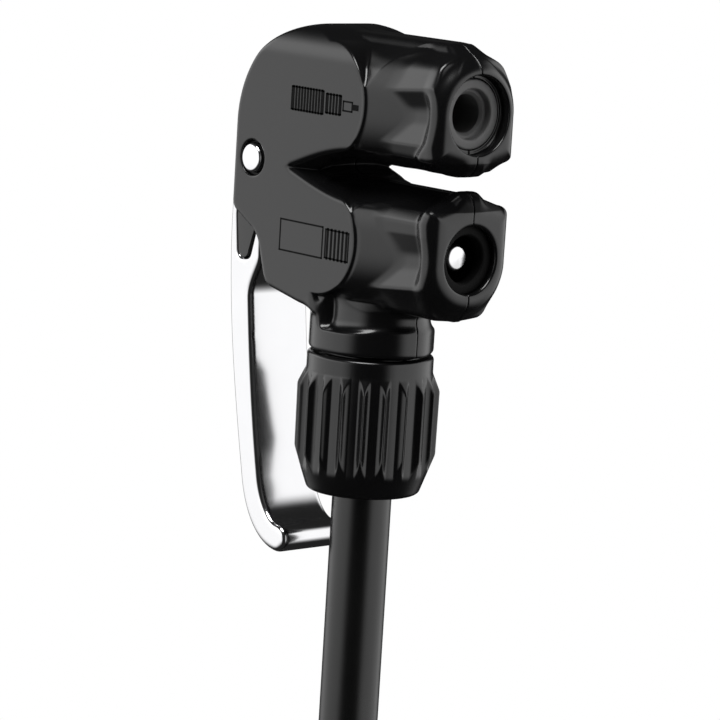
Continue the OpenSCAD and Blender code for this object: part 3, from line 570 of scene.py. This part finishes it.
def sign_piece():
    """All strips as one thin dark inlay, a hair proud of the cheek: painted shade for the signs' engraved lines.
    """
    proud, sunk = 0.03, 0.3
    box_sides = [(0, 1, 2, 3), (7, 6, 5, 4), (0, 4, 5, 1), (1, 5, 6, 2), (2, 6, 7, 3), (3, 7, 4, 0)]
    points, faces = [], []
    for y0, z0, y1, z1 in sign_strips():
        first = len(points)
        for x in (-CHEEK_HALF - proud, -CHEEK_HALF + sunk):
            points += [(x, y0, z0), (x, y1, z0), (x, y1, z1), (x, y0, z1)]
        faces += [tuple(first + i for i in side) for side in box_sides]
    made = mesh_object("valve_signs", points, faces)
    made.data.shade_flat()
    return made


# Turned pieces

# A turned solid's profile keeps this far off its axis, so that no face shrinks to a point
AXIS_R = 0.02


def finer(points, step):
    """An open line's points with more between them, at most a step apart."""
    made = [points[0]]
    for a, b in zip(points, points[1:]):
        pieces = max(1, math.ceil(np.linalg.norm(b - a) / step))
        made += [a + (b - a) * (i + 1) / pieces for i in range(pieces)]
    return np.array(made)


def round_angles(segments):
    """Even angles round an axis, as a column."""
    return np.linspace(0, 2 * math.pi, segments, endpoint=False)[:, None]


def swept(name, radii, heights, place, direction):
    """A closed mesh round an axis, from a row of profile radii and heights for each angle."""
    segments, count = radii.shape
    angles = round_angles(segments)
    points = np.stack([radii * np.cos(angles), radii * np.sin(angles), heights], axis=2)
    turned = Vector((0, 0, 1)).rotation_difference(Vector(direction)).to_matrix()
    points = points.reshape(-1, 3) @ np.array(turned).T + np.array(place)
    faces = [
        (a * count + i, b * count + i, b * count + j, a * count + j)
        for a, b in zip(range(segments), [*range(1, segments), 0])
        for i, j in zip(range(count), [*range(1, count), 0])]
    return mesh_object(name, points, faces)


def turn(name, marks, place, direction, segments=96, carve=None):
    """A turned piece: a closed (radius, height, corner radius) profile swept round an axis.

    carve says how far each point is cut back, from its angle, height and radius.
    """
    arc_step, carve_step, sharp_angle = 0.12, 0.35, 35
    profile = rounded(marks, step=arc_step)
    if carve:
        profile = finer(np.concatenate([profile, profile[:1]]), carve_step)[:-1]
    radii, heights = np.repeat(profile.T[:, None], segments, axis=1)
    if carve:
        radii = radii - carve(round_angles(segments), heights, radii)
    made = swept(name, radii, heights, place, direction)
    made.data.set_sharp_from_angle(angle=math.radians(sharp_angle))
    return made


def pin_piece():
    """Cross pin with domed ends."""
    half, radius, dome, dome_r = pin_high[0], pin_high[2], 0.15, 0.5
    return turn("pivot_pin_form", [
        (AXIS_R, -half, 0), (radius, -half + dome, dome_r), (radius, half - dome, dome_r), (AXIS_R, half, 0)],
        (0, 0, 0), (1, 0, 0))


def presta_grommet_piece():
    """Upper grommet with a flat front ring, a wider mouth and a chamfered step to its bore."""
    outer_r, bore_r, step_r, mouth_r, rim_r = 6.0, 3.3, 3.8, 4.3, 4.35
    mouth_depth, chamfer, lead = 1.3, 0.5, 0.1
    front = FACE_Y + PRESTA_DEPTH
    step = front + mouth_depth
    return turn("presta_grommet_form", [
        (outer_r, front - lead, 0.3), (outer_r, GROMMET_SEAT, 0.2), (bore_r, GROMMET_SEAT, 0.2),
        (bore_r, step + chamfer, 0.1), (step_r, step, 0.1), (mouth_r, step, 0.2), (rim_r, front - lead, 0.3)],
        (0, 0, PORT_Z), (0, 1, 0))


def schrader_grommet_piece():
    """Lower grommet with a rounded lip and relief behind it."""
    outer_r, relief_r, lip_r = 6.0, 4.6, 4.1
    lip_length, lip_slope = 2.1, 0.5
    front = FACE_Y + SCHRADER_DEPTH
    lip_end = front + lip_length
    return turn("schrader_grommet_form", [
        (outer_r, front, 0.2), (outer_r, GROMMET_SEAT, 0.2), (relief_r, GROMMET_SEAT, 0.2),
        (relief_r, lip_end + lip_slope, 0.3), (lip_r, lip_end, 0.3), (lip_r, front, 0.5)],
        (0, 0, -PORT_Z), (0, 1, 0))


def depressor_piece():
    """Pin with a domed head, a little longer in front than its node."""
    longer, head_r, stem_r = 1.0, 2.4, 1.4
    dome, head_length, shoulder = 0.25, 3.2, 0.4
    low, high = node_box("schrader_depressor")
    front, back = low[1] - longer, high[1]
    head_end = front + head_length
    return turn("schrader_depressor_form", [
        (AXIS_R, front, 0), (head_r, front + dome, 0.8), (head_r, head_end, 0.3),
        (stem_r, head_end + shoulder, 0.2), (stem_r, back, 0.2), (AXIS_R, back, 0)],
        (0, 0, -PORT_Z), (0, 1, 0))


def ferrule_piece():
    """Crimped collar with rounded beads."""
    bands, waist, gap = 5, 0.4, 0.05
    low, high = node_box("hose_ferrule")
    middle_x = (low[0] + high[0]) / 2
    radius = (high[0] - low[0]) / 2
    bead = (high[2] - low[2]) / bands
    marks = [(HOSE_R + gap, low[2], 0), (radius, low[2], 0.3)]
    for i in range(1, bands, 2):
        foot = low[2] + i * bead
        top = foot + bead
        marks += [
            (radius, foot, 0.3), (radius - waist, foot + waist, 0.3), (radius - waist, top - waist, 0.3),
            (radius, top, 0.3)]
    marks += [(radius, high[2], 0.5), (HOSE_R + gap, high[2], 0)]
    return turn("hose_ferrule_form", marks, (middle_x, HOSE_Y, 0), (0, 0, 1))


def fitting_piece():
    """End fitting: flange, hexagon with eased corners and a spigot with its thread."""
    flange_r, hex_r, eased_r, bore_r, spigot_r, relief_r = 6.65, 7.0, 6.9, 2.5, 4.85, 4.35
    flange_height, hex_height, relief_height = 2, 6, 1.5
    chamfer, chamfer_depth, edge = 0.6, 0.18, 0.1
    pitch, depth, segments = 0.907, 0.5, 192
    sixth = math.pi / 3
    hex_half = hex_r * math.cos(sixth / 2)
    low, high = node_box("hose_fitting")
    middle_x = (low[0] + high[0]) / 2
    hex_top = high[2] - flange_height
    hex_bottom = hex_top - hex_height
    relief_foot = hex_bottom - relief_height

    def carve(angles, heights, radii):
        """Cuts the hexagon's sides and the spigot's thread."""
        phase = (angles + sixth / 2) % sixth - sixth / 2
        eased = np.minimum(hex_half / np.cos(phase), eased_r)
        from_end = np.minimum(hex_top - heights, heights - hex_bottom)
        taper = chamfer_depth * np.clip(1 - from_end / chamfer, 0, 1)
        on_hex = (from_end > edge) & (radii > flange_r)
        on_thread = (heights < relief_foot - edge) & (radii > relief_r)
        thread = depth * screw(angles, heights, pitch)
        return np.where(on_hex, radii - eased + taper, 0) + np.where(on_thread, thread, 0)

    return turn("hose_fitting_form", [
        (bore_r, low[2], 0.2), (spigot_r, low[2], 0.6), (spigot_r, relief_foot, 0),
        (relief_r, relief_foot, 0), (relief_r, hex_bottom, 0), (hex_r, hex_bottom, 0),
        (hex_r, hex_top, 0), (flange_r, hex_top, 0), (flange_r, high[2], 0.4), (bore_r, high[2], 0)],
        (middle_x, HOSE_Y, 0), (0, 0, 1), segments, carve)


def nut_piece():
    """Fluted hand nut: the flutes are scooped out of its side by round cutters."""
    flutes, per_flute, cutter_r, cutter_out = 20, 24, 2.0, 0.6
    ridge_edge, flute_floor, arc_step, line_step = 0.2, 11.25, 0.2, 0.3
    bore_r, pocket_r, hole_r, lip, ledge_gap = 9.3, 7.35, 5.6, 2.6, 0.4
    collar_r, collar_height, shoulder, foot_r, foot_height, draft = 11.1, 3.0, 6.0, 9.85, 7.1, 0.1
    carve_from = bore_r + 1.0
    top, bottom, grip_r = nut_high[2], nut_low[2], nut_high[0]
    ring_r = grip_r + cutter_out
    ledge = THREAD_BOTTOM - ledge_gap
    outside = rounded([
        (bore_r, top, 0), (collar_r, top, 0.6), (collar_r, top - collar_height, 1.2),
        (grip_r, top - shoulder, 2.0), (grip_r - draft, bottom + foot_height, 2.0), (foot_r, bottom, 0.9),
        (hole_r, bottom, 0)], closed=False, step=arc_step)
    inside = [(hole_r, bottom + lip), (pocket_r, bottom + lip), (pocket_r, ledge), (bore_r, ledge)]
    profile = np.concatenate([finer(outside, line_step), inside])[::-1]
    segments = flutes * per_flute
    radii, heights = np.repeat(profile.T[:, None], segments, axis=1)
    pitch = 2 * math.pi / flutes
    offset = (round_angles(segments) + pitch / 2) % pitch - pitch / 2
    reach = np.maximum(cutter_r ** 2 - (ring_r * np.sin(offset)) ** 2, 0)
    scoop = np.where(reach > 0, ring_r * np.cos(offset) - np.sqrt(reach), ring_r)
    carved = soft_min(radii, np.maximum(scoop, flute_floor), ridge_edge)
    radii = np.where(radii > carve_from, carved, radii)
    return swept("clamp_nut_form", radii, heights, (0, HOSE_Y, 0), (0, 0, 1))


# Hose and its strap

COIL_TURNS = 2
COIL_PITCH = 11.3


def tie_piece():
    """Strap with rounded edges and a snap stud at its front."""
    step, thick, edge = 0.4, 1.6, 1.0
    stud_r, stud_out, stud_in, stud_edge = 3.6, 1.0, 1.0, 0.9
    low = tie_low - [GRID_MARGIN, GRID_MARGIN + stud_out, GRID_MARGIN]
    x, y, z = axes(low, tie_high + GRID_MARGIN, step)
    middle = (tie_low + tie_high) / 2
    radius = (tie_high[1] - tie_low[1]) / 2
    bend_x = np.clip(x, tie_low[0] + radius, tie_high[0] - radius)
    wall = np.abs(np.hypot(x - bend_x, y - HOSE_Y) - radius + thick / 2) - thick / 2
    band = soft_max(wall, span(z, tie_low[2], tie_high[2]), edge)
    stud_side = np.hypot(x - middle[0], z - middle[2]) - stud_r
    stud = soft_max(stud_side, span(y, tie_low[1] - stud_out, tie_low[1] + stud_in), stud_edge)
    return mesh_object("hose_tie_form", *field_mesh(np.minimum(band, stud), low, step))


def hose_route():
    """Middle line of the hose: straight down, the coil's turns, and the straight tail."""
    straight_points, points_per_turn, tail_points = 20, 72, 8
    coil_z = (tie_low[2] + tie_high[2]) / 2
    end_z = node_box("hose_ferrule")[0][2]
    radius = (coil_high[1] - coil_low[1]) / 2 - HOSE_R
    straight = [(0, HOSE_Y, z) for z in np.linspace(hose_high[2], coil_z, straight_points)[:-1]]
    turns = []
    for i in range(COIL_TURNS * points_per_turn + 1):
        t = i / points_per_turn
        angle = 2 * math.pi * t
        y = HOSE_Y + radius * (1 - math.cos(angle))
        turns.append((COIL_PITCH * t, y, coil_z - radius * math.sin(angle)))
    tail = [(COIL_PITCH * COIL_TURNS, HOSE_Y, z) for z in np.linspace(coil_z, end_z, tail_points)[1:]]
    return np.array(straight + turns + tail)


def hose_piece():
    """The hose as one round line along its route, and its length in metres."""
    round_steps = 10
    route = (hose_route() + PIVOT) * MM
    curve = bpy.data.curves.new("hose_line", "CURVE")
    curve.dimensions = "3D"
    curve.bevel_depth = HOSE_R * MM
    curve.bevel_resolution = round_steps
    curve.use_fill_caps = True
    spline = curve.splines.new("POLY")
    spline.points.add(len(route) - 1)
    for point, place in zip(spline.points, route):
        point.co = (*place, 1)
    spline.use_smooth = True
    made = bpy.data.objects.new("hose_line", curve)
    bpy.context.scene.collection.objects.link(made)
    length = float(np.linalg.norm(np.diff(route, axis=0), axis=1).sum())
    return made, length


# Shader helpers

def maths(tree, kind, *values):
    """A maths node's result, from numbers and other nodes' results."""
    node = tree.nodes.new("ShaderNodeMath")
    node.operation = kind
    for socket, value in zip(node.inputs, values):
        if isinstance(value, (int, float)):
            socket.default_value = value
        else:
            tree.links.new(value, socket)
    return node.outputs[0]


def map_range(tree, value, kind="LINEAR", **limits):
    """A value mapped between limits, which are named as the node's sockets with underscores."""
    node = tree.nodes.new("ShaderNodeMapRange")
    node.interpolation_type = kind
    for name, limit in limits.items():
        node.inputs[name.replace("_", " ")].default_value = limit
    tree.links.new(value, node.inputs["Value"])
    return node.outputs["Result"]


def position(tree, kind):
    """The x, y and z parts of a texture coordinate."""
    where = tree.nodes.new("ShaderNodeTexCoord")
    parts = tree.nodes.new("ShaderNodeSeparateXYZ")
    tree.links.new(where.outputs[kind], parts.inputs[0])
    return parts.outputs["X"], parts.outputs["Y"], parts.outputs["Z"]


def shader(name):
    """A new node material, its tree and its main shader."""
    material = bpy.data.materials.new(name)
    material.use_nodes = True
    tree = material.node_tree
    return material, tree, tree.nodes["Principled BSDF"]


def noise(tree, scale, detail):
    """Noise in object space, which is the part's own frame in metres."""
    where = tree.nodes.new("ShaderNodeTexCoord")
    texture = tree.nodes.new("ShaderNodeTexNoise")
    tree.links.new(where.outputs["Object"], texture.inputs["Vector"])
    texture.inputs["Scale"].default_value = scale
    texture.inputs["Detail"].default_value = detail
    return texture.outputs["Fac"]


def bump(tree, main, source, strength, distance):
    """Fine relief on the shader."""
    relief = tree.nodes.new("ShaderNodeBump")
    relief.inputs["Strength"].default_value = strength
    relief.inputs["Distance"].default_value = distance
    tree.links.new(source, relief.inputs["Height"])
    tree.links.new(relief.outputs["Normal"], main.inputs["Normal"])


def tint(tree, main, source, dark, light):
    """Base colour that wanders between two close tones."""
    ramp = tree.nodes.new("ShaderNodeValToRGB")
    ramp.color_ramp.elements[0].color = (*dark, 1)
    ramp.color_ramp.elements[1].color = (*light, 1)
    tree.links.new(source, ramp.inputs["Fac"])
    tree.links.new(ramp.outputs["Color"], main.inputs["Base Color"])


def moulded(name, dark, light, rough, grain=9000, relief=0.05, specular=0.5):
    """Moulded plastic or rubber: fine even grain, slight mottling of tone and gloss."""
    cloud_scale, cloud_detail, grain_detail, grain_height = 140, 4.0, 2.0, 0.00002
    smoother, rougher = 0.04, 0.05
    material, tree, main = shader(name)
    grains = noise(tree, grain, grain_detail)
    clouds = noise(tree, cloud_scale, cloud_detail)
    tint(tree, main, clouds, dark, light)
    gloss = map_range(tree, clouds, To_Min=rough - smoother, To_Max=rough + rougher)
    tree.links.new(gloss, main.inputs["Roughness"])
    bump(tree, main, grains, relief, grain_height)
    main.inputs["Specular IOR Level"].default_value = specular
    return material


def metal(name, dark, light, rough, relief=0.02, grain=1500):
    """Polished or machined metal with faint wear in its gloss."""
    cloud_scale, cloud_detail, grain_detail, grain_height = 220, 5.0, 3.0, 0.00001
    smoother, rougher = 0.8, 1.25
    material, tree, main = shader(name)
    clouds = noise(tree, cloud_scale, cloud_detail)
    fine = noise(tree, grain, grain_detail)
    tint(tree, main, clouds, dark, light)
    gloss = map_range(tree, clouds, To_Min=rough * smoother, To_Max=rough * rougher)
    tree.links.new(gloss, main.inputs["Roughness"])
    bump(tree, main, fine, relief, grain_height)
    main.inputs["Metallic"].default_value = 1.0
    return material


def painted_gap_shade(material, low, high, half, specular):
    """Lowers a material's gloss in the gap between two heights, as painted shade that darkens the slot between the
    barrels.
    """
    fade_from, full_specular = 0.94, 0.5
    tree = material.node_tree
    x, _, z = position(tree, "Object")
    across = maths(tree, "DIVIDE", maths(tree, "ABSOLUTE", x), half)
    upward = maths(tree, "SUBTRACT", z, (low + high) / 2)
    upward = maths(tree, "DIVIDE", maths(tree, "ABSOLUTE", upward), (high - low) / 2)
    level = map_range(tree, maths(tree, "MAXIMUM", across, upward), "SMOOTHSTEP", From_Min=fade_from,
                      To_Min=specular, To_Max=full_specular)
    tree.links.new(level, tree.nodes["Principled BSDF"].inputs["Specular IOR Level"])


# Materials

BLACK_DARK = (0.003, 0.003, 0.0032)
BLACK_LIGHT = (0.0045, 0.0045, 0.0048)
BLACK_ROUGH = 0.2
GAP_LOW = -4.2
GAP_HIGH = 4.3
GAP_HALF = CHEEK_HALF - 0.15
# Specular level in the slot between the barrels, lowered as painted shade
GAP_SHADE_SPECULAR = 0.06

head_plastic = moulded("head_plastic", BLACK_DARK, BLACK_LIGHT, BLACK_ROUGH)
# Painted shade: the head's gloss is lowered in the slot between the barrels
painted_gap_shade(head_plastic, (PIVOT[2] + GAP_LOW) * MM, (PIVOT[2] + GAP_HIGH) * MM, GAP_HALF * MM, GAP_SHADE_SPECULAR)
nut_plastic = moulded("nut_plastic", BLACK_DARK, BLACK_LIGHT, BLACK_ROUGH)
cam_plastic = moulded("cam_plastic", (0.02, 0.02, 0.02), (0.028, 0.028, 0.028), 0.42)
inner_plastic = moulded("inner_plastic", (0.05, 0.05, 0.055), (0.07, 0.07, 0.075), 0.5)
grey_rubber = moulded("grey_rubber", (0.10, 0.10, 0.10), (0.13, 0.13, 0.13), 0.5, grain=5000)
# Black rubber for the seals and the lower grommet; its low gloss is painted shade in the lower port's mouth
dark_rubber_and_port_shade = moulded(
    "dark_rubber_and_port_shade", (0.002, 0.002, 0.002), (0.004, 0.004, 0.004), 0.7, grain=5000, specular=0.15)
hose_rubber = moulded("hose_rubber", (0.003, 0.003, 0.003), (0.0045, 0.0045, 0.0045), 0.28, grain=4000)
tie_rubber = moulded("tie_rubber", (0.012, 0.012, 0.012), (0.018, 0.018, 0.018), 0.5)
# Near-black matte strips: painted shade for the signs' engraved lines
sign_groove_shade = moulded("sign_groove_shade", (0.001, 0.001, 0.001), (0.0015, 0.0015, 0.0015), 0.7, specular=0.1)
chrome = metal("chrome", (0.66, 0.66, 0.67), (0.7, 0.7, 0.71), 0.13)
polished_steel = metal("polished_steel", (0.7, 0.7, 0.71), (0.76, 0.76, 0.77), 0.16)
ferrule_metal = metal("ferrule_metal", (0.62, 0.62, 0.64), (0.7, 0.7, 0.72), 0.3)
brass_metal = metal("brass_metal", (0.62, 0.45, 0.2), (0.7, 0.52, 0.25), 0.25)

NODE_LOOKS = {
    "valve_block": inner_plastic, "presta_grommet": grey_rubber, "schrader_grommet": dark_rubber_and_port_shade,
    "presta_plunger": inner_plastic, "schrader_plunger": inner_plastic,
    "presta_push_plate": polished_steel, "schrader_push_plate": polished_steel,
    "presta_seal": dark_rubber_and_port_shade, "schrader_seal": dark_rubber_and_port_shade, "schrader_depressor": polished_steel,
    "lever_cam": cam_plastic, "pivot_pin": polished_steel, "hose_stem": brass_metal,
    "stem_seal": dark_rubber_and_port_shade, "compression_sleeve": inner_plastic, "hose_tie": tie_rubber,
    "hose_ferrule": ferrule_metal, "hose_fitting": brass_metal, "fitting_seal": dark_rubber_and_port_shade,
    "left_shell": head_plastic, "right_shell": head_plastic, "lever": chrome, "clamp_nut": nut_plastic,
    "hose": hose_rubber, "hose_coil": hose_rubber}


def dress(piece, material, body=None, nodes=()):
    """Gives a piece its material, body, material slot and the nodes that it stands for."""
    piece.data.materials.clear()
    piece.data.materials.append(material)
    if body:
        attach(piece, body)
    if nodes:
        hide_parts(*nodes)
    return piece


for node_name, node_look in NODE_LOOKS.items():
    dress(frame["nodes"][node_name], node_look)

left_form, right_form = shells()
dress(left_form, head_plastic, "head", ["left_shell"])
dress(right_form, head_plastic, "head", ["right_shell"])
# The signs' dark strips are painted shade of engraved lines
dress(sign_piece(), sign_groove_shade, "head")
dress(lever_piece(), chrome, "lever", ["lever"])
dress(nut_piece(), nut_plastic, "nut", ["clamp_nut"])
dress(pin_piece(), polished_steel, "head", ["pivot_pin"])
dress(presta_grommet_piece(), grey_rubber, "head", ["presta_grommet"])
# The lower grommet's black rubber, with its gloss lowered as painted shade inside the port mouth
dress(schrader_grommet_piece(), dark_rubber_and_port_shade, "head", ["schrader_grommet"])
dress(depressor_piece(), polished_steel, "schrader_piston", ["schrader_depressor"])
end_forms = [
    dress(tie_piece(), tie_rubber, "head", ["hose_tie"]),
    dress(ferrule_piece(), ferrule_metal, "head", ["hose_ferrule"]),
    dress(fitting_piece(), brass_metal, "head", ["hose_fitting"])]
hose_form, hose_length = hose_piece()
dress(hose_form, hose_rubber, "head", ["hose", "hose_coil"])


# Camera, as the photograph is seen

CAMERA_AZIMUTH = -41.742
CAMERA_ELEVATION = 9.4
CAMERA_ROLL = 3.482
CAMERA_DISTANCE = 0.6240
CAMERA_LENS = 180
CAMERA_SENSOR = 36
CAMERA_NEAR = 0.01
CAMERA_AIM = Vector((-0.00443, 0.01894, -0.02022))


def camera():
    """The camera at its distance from the aim, turned to it and rolled a little."""
    data = bpy.data.cameras.new("camera")
    data.lens = CAMERA_LENS
    data.sensor_width = CAMERA_SENSOR
    data.clip_start = CAMERA_NEAR
    made = bpy.data.objects.new("camera", data)
    bpy.context.scene.collection.objects.link(made)
    a, e = math.radians(CAMERA_AZIMUTH), math.radians(CAMERA_ELEVATION)
    back = Vector((math.sin(a) * math.cos(e), -math.cos(a) * math.cos(e), math.sin(e)))
    made.location = CAMERA_AIM + back * CAMERA_DISTANCE
    look = (-back).to_track_quat("-Z", "Y").to_matrix().to_4x4()
    made.rotation_euler = (look @ Matrix.Rotation(math.radians(CAMERA_ROLL), 4, "Z")).to_euler()
    bpy.context.scene.camera = made


# Studio: a white background, two white walls beside the object, an overhead lamp and a pale floor

def wall_light(tree):
    """Strength of the light from each direction: two walls, a panel on the left wall, and a dim rest."""
    wall, wall_strength = {"From_Min": 0.42, "From_Max": 0.80}, 1.4
    floor_edge = {"From_Min": -0.62, "From_Max": -0.18}
    ceiling_edge = {"From_Min": 0.45, "From_Max": 0.70}
    panel_foot = {"From_Min": 0.05, "From_Max": 0.30}
    panel_top = {"From_Min": 0.42, "From_Max": 0.58}
    panel_strength, rest_strength = 0.7, 0.02
    a = math.radians(CAMERA_AZIMUTH)
    x, y, z = position(tree, "Generated")

    def smooth(value, limits):
        """A smooth rise from 0 to 1 between the limits."""
        return map_range(tree, value, "SMOOTHSTEP", **limits)

    def product(*values):
        """Two values multiplied."""
        return maths(tree, "MULTIPLY", *values)

    rightward = maths(tree, "ADD", product(x, math.cos(a)), product(y, math.sin(a)))
    walls = smooth(maths(tree, "ABSOLUTE", rightward), wall)
    left_wall = smooth(product(rightward, -1.0), wall)
    panel = maths(tree, "SUBTRACT", smooth(z, panel_foot), smooth(z, panel_top))
    under_ceiling = maths(tree, "SUBTRACT", 1.0, smooth(z, ceiling_edge))
    bright = product(product(walls, wall_strength), product(smooth(z, floor_edge), under_ceiling))
    level = maths(tree, "ADD", bright, product(product(left_wall, panel), panel_strength))
    return maths(tree, "ADD", level, rest_strength)


def studio_world():
    """World that lights the object by its walls and looks plain white itself."""
    scene = bpy.context.scene
    scene.view_settings.view_transform = "Standard"
    world = bpy.data.worlds.new("studio")
    scene.world = world
    world.use_nodes = True
    tree = world.node_tree
    tree.nodes.clear()
    level = wall_light(tree)
    rays = tree.nodes.new("ShaderNodeLightPath")
    seen = maths(tree, "MAXIMUM", rays.outputs["Is Camera Ray"], rays.outputs["Is Transmission Ray"])
    missing = maths(tree, "MULTIPLY", seen, maths(tree, "SUBTRACT", 1.0, level))
    light = tree.nodes.new("ShaderNodeBackground")
    light.inputs["Color"].default_value = (1, 1, 1, 1)
    tree.links.new(maths(tree, "ADD", missing, level), light.inputs["Strength"])
    out = tree.nodes.new("ShaderNodeOutputWorld")
    tree.links.new(light.outputs[0], out.inputs["Surface"])


def studio_lamp():
    """Round overhead lamp."""
    place, aim, size, energy = (-0.25, -0.1, 0.75), Vector((0, 0.02, 0)), 0.5, 6
    lamp = bpy.data.lights.new("overhead", "AREA")
    lamp.shape = "DISK"
    lamp.size = size
    lamp.energy = energy
    made = bpy.data.objects.new("overhead", lamp)
    made.location = place
    made.rotation_euler = (aim - made.location).to_track_quat("-Z", "Y").to_euler()
    bpy.context.scene.collection.objects.link(made)


def studio_floor():
    """Round floor just under the part."""
    radius, sides, x, y, gap = 0.36, 128, 0.01, 0.06, 0.004
    bpy.ops.mesh.primitive_circle_add(
        vertices=sides, radius=radius, fill_type="NGON", location=(x, y, cad_low.z - gap))
    floor = bpy.context.active_object
    floor.name = "floor"
    floor_look = moulded("floor_look", (0.78, 0.78, 0.78), (0.82, 0.82, 0.82), 0.6, grain=800, relief=0.02)
    floor.data.materials.append(floor_look)
    floor.visible_glossy = False


camera()
studio_world()
studio_lamp()
studio_floor()
